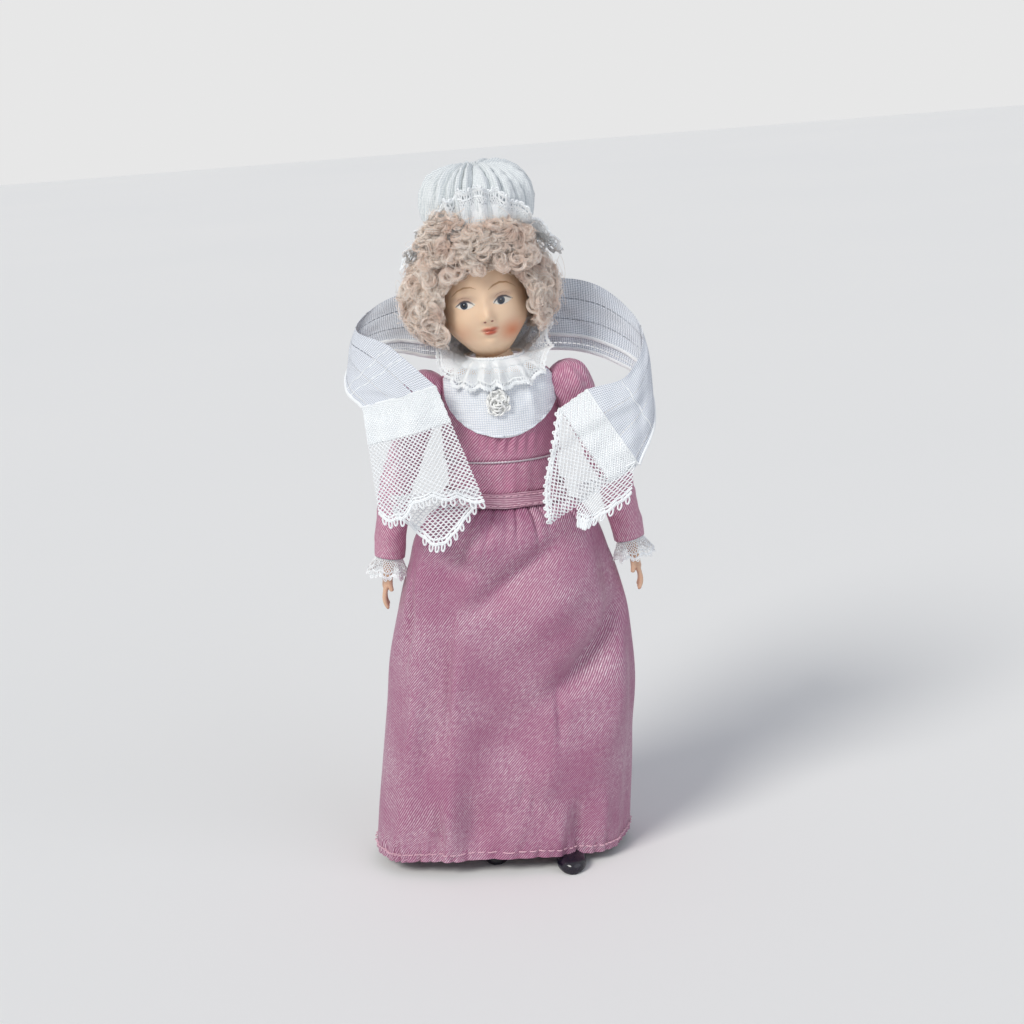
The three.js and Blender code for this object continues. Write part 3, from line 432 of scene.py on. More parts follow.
@dataclass(frozen=True)
class Bisque(Finish):
    """Unglazed porcelain, tinted in the clay, with china paint and, on the face, painted shade in the eye
    sockets and a painted highlight in each eye: matt, dense and faintly translucent.
    """

    clay: str = "#F0D3B5"
    shade: str = "#E6C3A3"
    coats: tuple[PaintCoat, ...] = ()
    glazed: tuple[str, ...] = ()

    def paint(self, g: Graph) -> bpy.types.Node:
        """Clay with a cloudy tint, the coats over it in order, and gloss where a coat is glazed.

        Args:
            g: the material's graph.

        Returns:
            The shader.
        """
        at = (g.add("TexCoord"), "Object")
        cloud = g.add("TexNoise", {"Vector": at, "Scale": 160.0, "Detail": 3.0})
        colour = g.add("Mix", {"Factor": cloud, "A": self.clay, "B": self.shade}, data_type="RGBA")
        gloss = None
        for coat in self.coats:
            far = g.add("Attribute", attribute_name=coat.title)
            low, high = -coat.softness / 2, coat.softness / 2
            edge = {"Value": (far, "Fac"), "From Min": high, "From Max": low, "To Max": coat.strength}
            cover = g.add("MapRange", edge, interpolation_type="SMOOTHSTEP")
            colour = g.add("Mix", {"Factor": cover, "A": colour, "B": coat.colour}, data_type="RGBA")
            if coat.title in self.glazed:
                gloss = g.add("Math", {0: gloss or 0.0, 1: cover}, operation="MAXIMUM")
        # Fired grain of about 0.25 mm, twice the real one so that it shows
        grain = g.add("TexNoise", {"Vector": at, "Scale": 4000.0, "Detail": 2.0})
        bump = g.add("Bump", {"Height": grain, "Strength": 0.06, "Distance": 0.0001})
        rough = 0.52
        if gloss is not None:
            rough = g.add("MapRange", {"Value": gloss, "To Min": rough, "To Max": 0.14})
        look = {"Base Color": colour, "Roughness": rough, "Normal": bump, "IOR": 1.5,
                "Subsurface Weight": 0.12, "Subsurface Radius": (0.0012, 0.0006, 0.0004),
                "Subsurface Scale": 1.0}
        return g.add("BsdfPrincipled", look)


@dataclass(frozen=True)
class Mohair(Finish):
    """Combed and crimped mohair: fine lustrous fibres, each a little lighter or warmer than the next."""

    deep: str = "#DDAA8C"
    body: str = "#FFE6D2"
    bright: str = "#FFFBF3"

    def paint(self, g: Graph) -> bpy.types.Node:
        """Each strand has its own tone, with painted shade on its first quarter, where it leaves the mass.

        Args:
            g: the material's graph.

        Returns:
            The shader.
        """
        strand = g.add("Attribute", attribute_name="strand")
        along = g.add("Attribute", attribute_name="along")
        cloud = g.add("TexNoise", {"Vector": (g.add("TexCoord"), "Object"), "Scale": 220.0, "Detail": 2.0})
        tone = g.add("Mix", {"Factor": (strand, "Fac"), "A": self.body, "B": self.bright}, data_type="RGBA")
        dark = g.add("MapRange", {"Value": cloud, "From Min": 0.45, "From Max": 0.7, "To Max": 0.4})
        tone = g.add("Mix", {"Factor": dark, "A": tone, "B": self.deep}, data_type="RGBA")
        # Painted shade on the first quarter of each fibre, where it leaves the mass
        root = g.add("MapRange", {"Value": (along, "Fac"), "From Max": 0.25, "To Min": 0.25, "To Max": 0.0})
        tone = g.add("Mix", {"Factor": root, "A": tone, "B": self.deep}, data_type="RGBA")
        look = {"Base Color": tone, "Roughness": 0.3, "IOR": 1.55, "Specular IOR Level": 0.7,
                "Sheen Weight": 0.4, "Subsurface Weight": 0.3,
                "Subsurface Radius": (0.0016, 0.0013, 0.0011), "Subsurface Scale": 1.0}
        return g.add("BsdfPrincipled", look)


@dataclass(frozen=True)
class TwillSatin(Finish):
    """Woven filament satin: its long floats lie in slanting ribs, with painted highlights in bright grains on
    them.
    """

    # deep is painted shade in the hollows between the ribs, bright the painted highlight on their crowns
    deep: str = "#7A3A5C"
    body: str = "#B4688F"
    bright: str = "#FAEEF4"
    # The real rib is about 0.2 mm; it is drawn twice as coarse so that it shows
    rib: float = 0.42
    slant: float = -49.0
    # How strong the painted highlights are
    sheen_strength: float = 0.9

    def paint(self, g: Graph) -> bpy.types.Node:
        """Ribs along the twill with painted shade in their hollows, painted highlights in grains on their
        crowns, and a faint cloud of stronger and weaker painted sheen.

        Args:
            g: the material's graph.

        Returns:
            The shader.
        """
        cloth = (g.add("Attribute", attribute_name="cloth"), "Vector")
        lay = g.add("Mapping", {"Vector": cloth, "Rotation": (0, 0, math.radians(self.slant))})
        stretch = g.add("Mapping", {"Vector": lay, "Scale": (0.9, 3.2, 1)})
        grain = g.add("TexNoise", {"Vector": stretch, "Scale": 1.0, "Detail": 3.0, "Roughness": 0.75})
        waver = g.add("TexNoise", {"Vector": lay, "Scale": 0.35, "Detail": 1.0})
        parts = g.add("SeparateXYZ", {"Vector": lay})
        sway = g.add("Math", {0: waver, 1: 0.2}, operation="MULTIPLY")
        bent = g.add("Math", {0: (parts, "Y"), 1: sway}, operation="ADD")
        angle = g.add("Math", {0: bent, 1: 2 * math.pi / self.rib}, operation="MULTIPLY")
        wave = g.add("Math", {0: angle}, operation="SINE")
        rib = g.add("MapRange", {"Value": wave, "From Min": -1.0})
        sheen_grain = g.add("MapRange", {"Value": grain, "From Min": 0.4, "From Max": 0.68, "To Min": 0.15})
        painted_sheen = g.add("Math", {0: rib, 1: sheen_grain}, operation="MULTIPLY")
        cloud = g.add("TexNoise", {"Vector": cloth, "Scale": 0.07, "Detail": 2.0})
        sheen_patch = g.add("MapRange", {"Value": cloud, "From Min": 0.36, "From Max": 0.64})
        crown = g.add("MapRange", {"Value": rib, "To Min": 0.05})
        # Painted shade in the hollows between the ribs
        base = g.add("Mix", {"Factor": crown, "A": self.deep, "B": self.body}, data_type="RGBA")
        depth = g.add("MapRange", {"Value": sheen_patch, "To Min": 0.4 * self.sheen_strength, "To Max": self.sheen_strength})
        share = g.add("Math", {0: painted_sheen, 1: depth}, operation="MULTIPLY")
        # Painted highlight mixed into the colour
        colour = g.add("Mix", {"Factor": share, "A": base, "B": self.bright}, data_type="RGBA")
        rough = g.add("MapRange", {"Value": painted_sheen, "To Min": 0.48, "To Max": 0.26})
        bump = g.add("Bump", {"Height": rib, "Strength": 0.4, "Distance": 0.00012})
        look = {"Base Color": colour, "Roughness": rough, "Normal": bump, "IOR": 1.54, "Sheen Weight": 0.3,
                "Sheen Roughness": 0.35, "Sheen Tint": "#F1D5DF", "Anisotropic": 0.4}
        return g.add("BsdfPrincipled", look)


@dataclass(frozen=True)
class PlainWeave(Finish):
    """Plain-woven cotton: matt and slightly fuzzy, each crossing of the threads a small bump, with painted
    shade between the crossings.
    """

    thread: str = "#FAFCFF"
    # gap is the painted shade between the crossings of the threads
    gap: str = "#DBE2EC"
    # Real lawn has a thread every 0.25 mm; it is drawn at this pitch so that the crossings show
    pitch: float = 0.48
    relief: float = 0.7
    # For gauze, the share of light its gaps let through and the millimetres from one drawn thread to the next
    open_share: float = 0.0
    drawn_every: float = 0.0

    def paint(self, g: Graph) -> bpy.types.Node:
        """Crossings and uneven threads with painted shade between them, and see-through gaps where the cloth
        is open or has drawn threads.

        Args:
            g: the material's graph.

        Returns:
            The shader.
        """
        cloth = (g.add("Attribute", attribute_name="cloth"), "Vector")
        waver = g.add("TexNoise", {"Vector": cloth, "Scale": 0.7, "Detail": 2.0})
        shift = g.add("VectorMath", {0: (waver, "Color"), 1: (0.35, 0.35, 0.0)}, operation="MULTIPLY")
        parts = g.add("SeparateXYZ", {"Vector": g.add("VectorMath", {0: cloth, 1: shift}, operation="ADD")})
        turn = math.pi / self.pitch
        waves = []
        for way in ("X", "Y"):
            angle = g.add("Math", {0: (parts, way), 1: turn}, operation="MULTIPLY")
            waves.append(g.add("Math", {0: angle}, operation="SINE"))
        product = g.add("Math", {0: waves[0], 1: waves[1]}, operation="MULTIPLY")
        crossing = g.add("Math", {0: product}, operation="ABSOLUTE")
        size = g.add("Math", {0: crossing, 1: 0.6}, operation="POWER")
        fuzz = g.add("TexNoise", {"Vector": cloth, "Scale": 5.0, "Detail": 3.0, "Roughness": 0.7})
        nap = g.add("Math", {0: fuzz, 1: 0.5}, operation="MULTIPLY")
        height = g.add("Math", {0: size, 1: nap}, operation="ADD")
        shade = g.add("MapRange", {"Value": height, "From Min": 0.3, "From Max": 1.1})
        # Painted shade between the crossings, uneven with the fuzz
        colour = g.add("Mix", {"Factor": shade, "A": self.gap, "B": self.thread}, data_type="RGBA")
        bump = g.add("Bump", {"Height": height, "Strength": self.relief, "Distance": 0.00015})
        look = {"Base Color": colour, "Roughness": 0.88, "Normal": bump, "IOR": 1.5, "Sheen Weight": 0.2,
                "Sheen Roughness": 0.6}
        if self.open_share:
            open_at = {"Value": size, "From Min": 0.18, "From Max": 0.42, "To Min": 1 - self.open_share}
            cover = g.add("MapRange", open_at)
            column = g.add("Math", {0: (parts, "X"), 1: self.drawn_every}, operation="PINGPONG")
            ladder = g.add("Math", {0: (parts, "Y"), 1: 0.55}, operation="PINGPONG")
            inside = g.add("Math", {0: column, 1: 0.16}, operation="LESS_THAN")
            rung = g.add("Math", {0: ladder, 1: 0.13}, operation="GREATER_THAN")
            hole = g.add("Math", {0: inside, 1: rung}, operation="MULTIPLY")
            look["Alpha"] = g.add("Math", {0: cover, 1: hole}, operation="SUBTRACT", use_clamp=True)
        return g.add("BsdfPrincipled", look)


@dataclass(frozen=True)
class CottonThread(Finish):
    """Twisted cotton thread, bleached: dull, soft-edged, its plies showing as slanting marks."""

    thread: str = "#FFFFFF"
    gap: str = "#E9EEF0"
    roughness: float = 0.85
    metal: float = 0.0

    def paint(self, g: Graph) -> bpy.types.Node:
        """Plies and stray fibres as fine noise over the thread.

        Args:
            g: the material's graph.

        Returns:
            The shader.
        """
        fuzz = g.add("TexNoise", {"Vector": (g.add("TexCoord"), "Object"), "Scale": 3200.0, "Detail": 3.0})
        colour = g.add("Mix", {"Factor": fuzz, "A": self.gap, "B": self.thread}, data_type="RGBA")
        bump = g.add("Bump", {"Height": fuzz, "Strength": 0.3, "Distance": 0.00006})
        look = {"Base Color": colour, "Roughness": self.roughness, "Normal": bump, "Metallic": self.metal,
                "Sheen Weight": 0.35}
        return g.add("BsdfPrincipled", look)


@dataclass(frozen=True)
class PaleFloor(Finish):
    """A pale matt floor, with a breath of tone so that it isn't dead flat."""

    tone: str = "#F3F2F0"

    def paint(self, g: Graph) -> bpy.types.Node:
        """One pale tone with a soft cloud in it.

        Args:
            g: the material's graph.

        Returns:
            The shader.
        """
        cloud = g.add("TexNoise", {"Vector": (g.add("TexCoord"), "Object"), "Scale": 3.0})
        colour = g.add("Mix", {"Factor": cloud, "A": self.tone, "B": "#EEEEED"}, data_type="RGBA")
        return g.add("BsdfPrincipled", {"Base Color": colour, "Roughness": 0.9})


FACE_COATS = (
    PaintCoat("blush_left", "#D2703F", 4.4, 0.85),
    PaintCoat("blush_right", "#D2855C", 4.6, 0.4),
    # lid_shade is painted shade in each eye socket, over the lid
    PaintCoat("lid_shade", "#8F6A66", 1.1, 0.42),
    PaintCoat("lips", "#C2593F", 0.6, 0.92),
    PaintCoat("lower_lip", "#B04A34", 0.5, 0.5),
    PaintCoat("mouth_line", "#8E3A2C", 0.2, 0.45),
    PaintCoat("nostrils", "#7C3022", 0.2, 0.95),
    PaintCoat("eye_white", "#E0DDD6", 0.22, 0.9),
    PaintCoat("iris", "#2C3644", 0.2, 1.0),
    PaintCoat("pupil", "#0B0C12", 0.14, 1.0),
    # glint is a painted highlight on each eye
    PaintCoat("glint", "#E8EEF4", 0.14, 0.9),
    PaintCoat("lash", "#39323A", 0.2, 0.9),
    PaintCoat("lower_lash", "#7A5A55", 0.12, 0.55),
    PaintCoat("crease", "#8A5548", 0.16, 0.6),
    PaintCoat("brow", "#A8794C", 0.22, 0.85),
)
FACE = Bisque("painted_bisque", coats=FACE_COATS, glazed=("iris", "pupil", "lips"))
HAND = Bisque("bisque", clay="#E0BCA0", shade="#D2A68C", coats=(PaintCoat("nails", "#D08A72", 0.5, 0.5),))
FOOT = Bisque(
    "bisque_with_enamelled_shoe",
    coats=(PaintCoat("shoe", "#1B1724", 0.12, 1.0), PaintCoat("shoe_trim", "#5A4A63", 0.15, 0.6)),
    glazed=("shoe",),
)
PLATE = Bisque("bisque_plate")
HAIR = Mohair("crimped_mohair")
SATIN = TwillSatin("twill_satin")
# The skirt's satin painted lighter and pinker, for the light that falls on the bodice and sleeves
LIT_SATIN = TwillSatin("painted_lit_twill_satin", "#964C6E", "#C97F9F", "#FDEFF4", sheen_strength=0.75)
RIBBON = TwillSatin("ribbon_satin", "#9C6079", "#C08AA0", "#F8E3EA", rib=0.45, slant=3.0)
LAWN = PlainWeave("woven_lawn")
CAP_COTTON = PlainWeave("woven_cap_cotton", thread="#F2F5F5", gap="#CBD2D5", pitch=0.42, relief=0.4)
GAUZE = PlainWeave("woven_gauze", thread="#F3F6FB", gap="#C6CEDC", pitch=0.5, relief=0.6, open_share=0.4,
                   drawn_every=3.1)
CALICO = PlainWeave("woven_calico", thread="#E6DCC9", gap="#C7B99F", pitch=0.6)
LACE = CottonThread("lace_cotton")
BRAID = CottonThread("silky_braid", thread="#FFFFFF", gap="#E9E9E4", roughness=0.45)
PINK_THREAD = CottonThread("pink_sewing_thread", thread="#F0CBD7", gap="#C48A9F", roughness=0.5)
SILVER_THREAD = CottonThread("silvered_thread", thread="#E2D9DE", gap="#A99AA6", roughness=0.3, metal=0.6)
WIRE = CottonThread("drawn_steel_wire", thread="#A9ABAE", gap="#8E9094", roughness=0.32, metal=1.0)


def piece(name: str, shape: Shape | bpy.types.Mesh, finish: Finish, slot: str,
          *nodes: str) -> bpy.types.Object:
    """Makes an object that takes its finish and stands for CAD nodes.

    Args:
        name: the piece's name.
        shape: what it is made of.
        finish: its surface.
        slot: the record's material slot; not used.
        nodes: CAD nodes that it replaces.

    Returns:
        The object, not yet attached to a body.
    """
    mesh = shape.mesh(name) if isinstance(shape, Shape) else shape
    mesh.materials.clear()
    mesh.materials.append(finish.material())
    made = bpy.data.objects.new(name, mesh)
    bpy.context.scene.collection.objects.link(made)
    if nodes:
        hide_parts(*nodes)
    return made


def thicken(made: bpy.types.Object, thickness: float) -> bpy.types.Object:
    """Gives a sheet its thickness, half on each side.

    Args:
        made: the sheet.
        thickness: in millimetres.

    Returns:
        The same sheet.
    """
    solid = made.modifiers.new("thickness", "SOLIDIFY")
    solid.thickness = thickness * MM
    solid.offset = 0
    return made


def fused(name: str, shape: Shape, voxel: float, smooth: int) -> Shape:
    """Casts overlapping closed shapes into one skin.

    Args:
        name: a name for the work.
        shape: the closed shapes.
        voxel: the grain of the cast, in millimetres.
        smooth: how often the skin is smoothed.

    Returns:
        The skin alone.
    """
    made = bpy.data.objects.new(name, shape.mesh(name))
    bpy.context.scene.collection.objects.link(made)
    remesh = made.modifiers.new("cast", "REMESH")
    remesh.mode = "VOXEL"
    remesh.voxel_size = voxel * MM
    soften = made.modifiers.new("soften", "SMOOTH")
    soften.factor = 0.5
    soften.iterations = smooth
    cast = made.evaluated_get(bpy.context.evaluated_depsgraph_get()).to_mesh()
    points = np.zeros(len(cast.vertices) * 3, np.float32)
    cast.vertices.foreach_get("co", points)
    corners = np.zeros(len(cast.loops), np.int32)
    cast.loops.foreach_get("vertex_index", corners)
    totals = np.zeros(len(cast.polygons), np.int32)
    cast.polygons.foreach_get("loop_total", totals)
    faces = np.full((len(totals), 4), -1)
    faces[np.arange(4)[None, :] < totals[:, None]] = corners
    bpy.data.objects.remove(made)
    return Shape(points.reshape(-1, 3).astype(float) / MM, faces)


@dataclass(frozen=True)
class Hang:
    """A frame for a limb or the head, leant sideways about a pivot and mirrored for the right side."""

    pivot: tuple[float, float, float]
    lean: float
    side: Side = Side.LEFT

    def place(self, points: Array) -> Array:
        """Takes local points to the doll's frame.

        Args:
            points: places about the pivot, as on the left side.

        Returns:
            Places in the doll's frame.
        """
        lean = math.radians(self.lean)
        x = points[..., 0] * math.cos(lean) - points[..., 2] * math.sin(lean) + self.pivot[0]
        z = points[..., 0] * math.sin(lean) + points[..., 2] * math.cos(lean) + self.pivot[2]
        return xyz(x * self.side.value, points[..., 1] + self.pivot[1], z)


@dataclass(frozen=True)
class Brush:
    """A brush stroke on the face: points of (x, z, half width) in millimetres."""

    points: tuple[tuple[float, float, float], ...]

    def far(self, x: Array, z: Array) -> Array:
        """How far places are outside the stroke.

        Args:
            x: places across the face.
            z: places up the face.

        Returns:
            Distances in millimetres, below 0 inside it.
        """
        best = np.full(x.shape, 99.0)
        for (x0, z0, w0), (x1, z1, w1) in zip(self.points, self.points[1:]):
            dx, dz = x1 - x0, z1 - z0
            t = np.clip(((x - x0) * dx + (z - z0) * dz) / (dx * dx + dz * dz), 0, 1)
            best = np.minimum(best, np.hypot(x - x0 - t * dx, z - z0 - t * dz) - w0 - t * (w1 - w0))
        return best


@dataclass(frozen=True)
class Dab:
    """An oval dab of paint on the face, by its middle and half sizes in millimetres."""

    x: float
    z: float
    wide: float
    high: float

    def far(self, x: Array, z: Array) -> Array:
        """The distance outside the dab, below 0 inside it."""
        share = np.hypot((x - self.x) / self.wide, (z - self.z) / self.high)
        return (share - 1) * min(self.wide, self.high)


@dataclass(frozen=True)
class Swelling:
    """A round swelling of the face, or with a height below 0 a hollow: height, middle and size in mm."""

    height: float
    x: float
    z: float
    wide: float
    high: float

    def at(self, x: Array, z: Array) -> Array:
        """The height at places on the face."""
        return self.height * np.exp(-(((x - self.x) / self.wide) ** 2) - (((z - self.z) / self.high) ** 2))


@dataclass
class Head:
    """The painted bisque head with its neck ball, leaning on the shoulder plate."""

    half_width: float = 8.9
    half_depth: float = 9.8
    half_height: float = 13.1
    centre_up: float = 14.2
    setback: float = 0.6
    neck_radius: float = 3.7
    ball_radius: float = 4.2
    midline: float = 0.45
    eyes_middle: float = 0.15
    # Tip and bridge of the nose, lips, their parting, the groove over them, chin and the hollow above it
    middle: tuple[Swelling, ...] = (
        Swelling(1.5, 0, 10.9, 1.15, 1.35), Swelling(0.6, 0, 13.2, 1.15, 2.4),
        Swelling(0.5, 0, 8.42, 1.45, 0.42), Swelling(0.55, 0, 7.45, 1.15, 0.5),
        Swelling(-0.3, 0, 7.98, 1.6, 0.17), Swelling(-0.14, 0, 9.25, 0.35, 0.6),
        Swelling(0.65, -0.18, 4.7, 2.1, 1.5), Swelling(-0.25, 0, 6.35, 1.5, 0.45),
    )
    nostrils: tuple[Swelling, ...] = (
        Swelling(0.5, 0.95, 10.35, 0.5, 0.55), Swelling(-0.3, 0.72, 9.95, 0.26, 0.24),
    )
    # Eye sockets, eyeballs, lids, brow ridges and cheeks
    sides: tuple[Swelling, ...] = (
        Swelling(-0.75, 3.6, 14.1, 2.3, 1.35), Swelling(0.42, 3.75, 13.65, 1.5, 0.75),
        Swelling(0.16, 3.8, 14.75, 1.9, 0.28), Swelling(0.2, 3.8, 16.6, 2.8, 0.9),
        Swelling(0.5, 4.7, 9.6, 2.6, 2.6),
    )
    # Each eye's middle by the sign of its side, and from it (across, up, half width) for lash line and crease
    eyes: tuple[tuple[int, float, float], ...] = ((1, 4.0, 13.62), (-1, -3.65, 13.85))
    lash: tuple[tuple[float, float, float], ...] = (
        (-1.95, -0.32, 0.05), (-1.45, 0.25, 0.14), (-0.7, 0.74, 0.22), (0.0, 0.88, 0.24), (0.8, 0.72, 0.2),
        (1.5, 0.25, 0.14), (2.1, -0.12, 0.06),
    )
    crease: tuple[tuple[float, float, float], ...] = (
        (-1.7, 0.85, 0.03), (-0.9, 1.45, 0.07), (0.1, 1.68, 0.08), (1.1, 1.45, 0.07), (1.9, 0.85, 0.03),
    )
    brows: tuple[Brush, ...] = (
        Brush(((1.5, 16.35, 0.05), (2.6, 17.05, 0.15), (4.0, 17.4, 0.19), (5.4, 17.1, 0.14),
               (6.6, 16.2, 0.07), (7.2, 15.5, 0.03))),
        Brush(((-0.9, 16.95, 0.05), (-2.0, 17.45, 0.14), (-3.4, 17.5, 0.16), (-4.8, 17.0, 0.12),
               (-6.2, 15.9, 0.04))),
    )
    # How full the face is at a height, against a plain oval: jowls, narrow chin
    fullness: Rows = Rows(((1.0, 0.9), (2.5, 0.86), (4.2, 0.88), (6.2, 0.96), (8.0, 1.03), (10.0, 1.05),
                           (14.0, 1.02), (20.0, 1.0), (27.5, 1.0)))
    stand: Hang = Hang((0, 1.5, 109.5), 6)

    def relief(self, x: Array, z: Array) -> Array:
        """How far the face stands out from the plain oval, in millimetres.

        Args:
            x: places across the face.
            z: places up the face.

        Returns:
            Heights, below 0 in a hollow.
        """
        off = x - self.midline
        groups = ((off, self.middle), (np.abs(off), self.nostrils),
                  (np.abs(x - self.eyes_middle), self.sides))
        return sum(part.at(across, z) for across, parts in groups for part in parts)

    def paint(self, x: Array, z: Array, front: Array) -> dict[str, Array]:
        """The distances that place each coat of paint.

        Args:
            x: places across the head.
            z: places up the head.
            front: whether a place is on the face.

        Returns:
            One field for each coat.
        """
        m = self.midline
        far = {coat.title: [] for coat in FACE_COATS}
        far["blush_left"].append(Dab(4.9, 7.0, 1.8, 1.6))
        far["blush_right"].append(Dab(-5.2, 7.9, 1.6, 1.5))
        far["lips"] += [Dab(m - 0.6, 8.25, 1.0, 0.42), Dab(m + 0.6, 8.25, 1.0, 0.42), Dab(m, 7.65, 1.3, 0.6)]
        far["lips"].append(Brush(((m - 1.55, 8.02, 0.08), (m, 8.0, 0.25), (m + 1.55, 8.05, 0.08))))
        far["lower_lip"].append(Dab(m, 7.5, 0.95, 0.4))
        parting = ((-1.45, 8.02, 0.02), (-0.5, 7.96, 0.07), (0, 8.02, 0.06), (0.5, 7.96, 0.07),
                   (1.45, 8.06, 0.02))
        far["mouth_line"].append(Brush(tuple((m + dx, up, w) for dx, up, w in parting)))
        far["nostrils"] += [Dab(m - 0.74, 9.98, 0.3, 0.24), Dab(m + 0.74, 10.02, 0.3, 0.24)]
        for side, ex, ez in self.eyes:
            upper = Dab(ex, ez - 1.0, 2.5, 1.85)
            lower = Dab(ex, ez + 1.35, 2.6, 2.1)
            almond = np.maximum(upper.far(x, z), lower.far(x, z))
            far["eye_white"].append(almond)
            gaze = ex - 0.28
            for title, size in (("iris", 0.8), ("pupil", 0.44)):
                far[title].append(np.maximum(Dab(gaze, ez + 0.08, size, size).far(x, z), almond))
            # A painted highlight on the iris
            far["glint"].append(Dab(gaze + 0.02, ez + 0.3, 0.12, 0.12))
            for title, row in (("lash", self.lash), ("crease", self.crease)):
                far[title].append(Brush(tuple((ex + side * dx, ez + dz, w) for dx, dz, w in row)))
            # Painted shade in the eye socket over each eye
            far["lid_shade"].append(Dab(ex, ez + 1.1, 1.9, 0.7))
            far["lower_lash"].append(
                Brush(((ex - 1.6, ez - 0.5, 0.03), (ex, ez - 0.82, 0.06), (ex + 1.6, ez - 0.5, 0.03)))
            )
        far["brow"] += self.brows
        fields = {}
        for title, marks in far.items():
            values = [mark if isinstance(mark, np.ndarray) else mark.far(x, z) for mark in marks]
            fields[title] = np.where(front, np.minimum.reduce(values), 9.0)
        return fields

    def skull(self, around: int, levels: int) -> tuple[Array, Array, Array, Array]:
        """The skin of the head in its own frame.

        Args:
            around: columns round the head.
            levels: rows from chin to crown.

        Returns:
            The points, and on the same grid x, z and whether the place is on the front.
        """
        steps = rounds(around)
        polar = ramp(0.02, math.pi - 0.02, levels)
        lift = -np.cos(polar)
        size = np.sin(polar) ** 0.9
        low = np.maximum(0, -lift)
        turn = steps + 0.42 * np.cos(steps)
        z = self.centre_up + self.half_height * lift + 0 * turn
        x = self.half_width * size * self.fullness.at(z)[..., 0] * np.cos(turn)
        sideways = np.sin(turn)
        depth = self.half_depth * size * sideways
        relief = np.where(sideways < 0, self.relief(x, z) * np.minimum(1, -sideways * 1.6), 0)
        y = np.where(sideways < 0, depth * (1 - 0.04 * low), depth * (1 - 0.3 * low**1.5)) - relief
        return xyz(x, y - self.setback, z), x, z, sideways + 0 * x < 0

    def build(self) -> None:
        """Makes the head and lets it ride."""
        around, levels = 300, 210
        points, x, z, front = self.skull(around, levels)
        skin = Shape.grid(self.stand.place(points), around=True, **self.paint(x, z, front))
        skin = skin.capped(around, levels)
        turn = rounds(48)
        polar = ramp(0.05, 2.4, 26)
        radius = self.ball_radius * np.sin(polar)
        rise = -self.ball_radius * np.cos(polar)
        radius = np.maximum(radius, np.where(rise > 0, self.neck_radius, 0))
        radius = np.where(rise > 2.2, self.neck_radius - 0.1, radius)
        stem = circle(radius, turn, np.where(polar > 2.35, 9.0, rise))
        fields = {coat.title: np.full(stem.shape[:2], 9.0) for coat in FACE_COATS}
        neck = Shape.grid(self.stand.place(stem), around=True, **fields).capped(48, 26)
        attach(piece("head", Shape.join([skin, neck]), FACE, "bisque_face", "head_bisque"), "head")


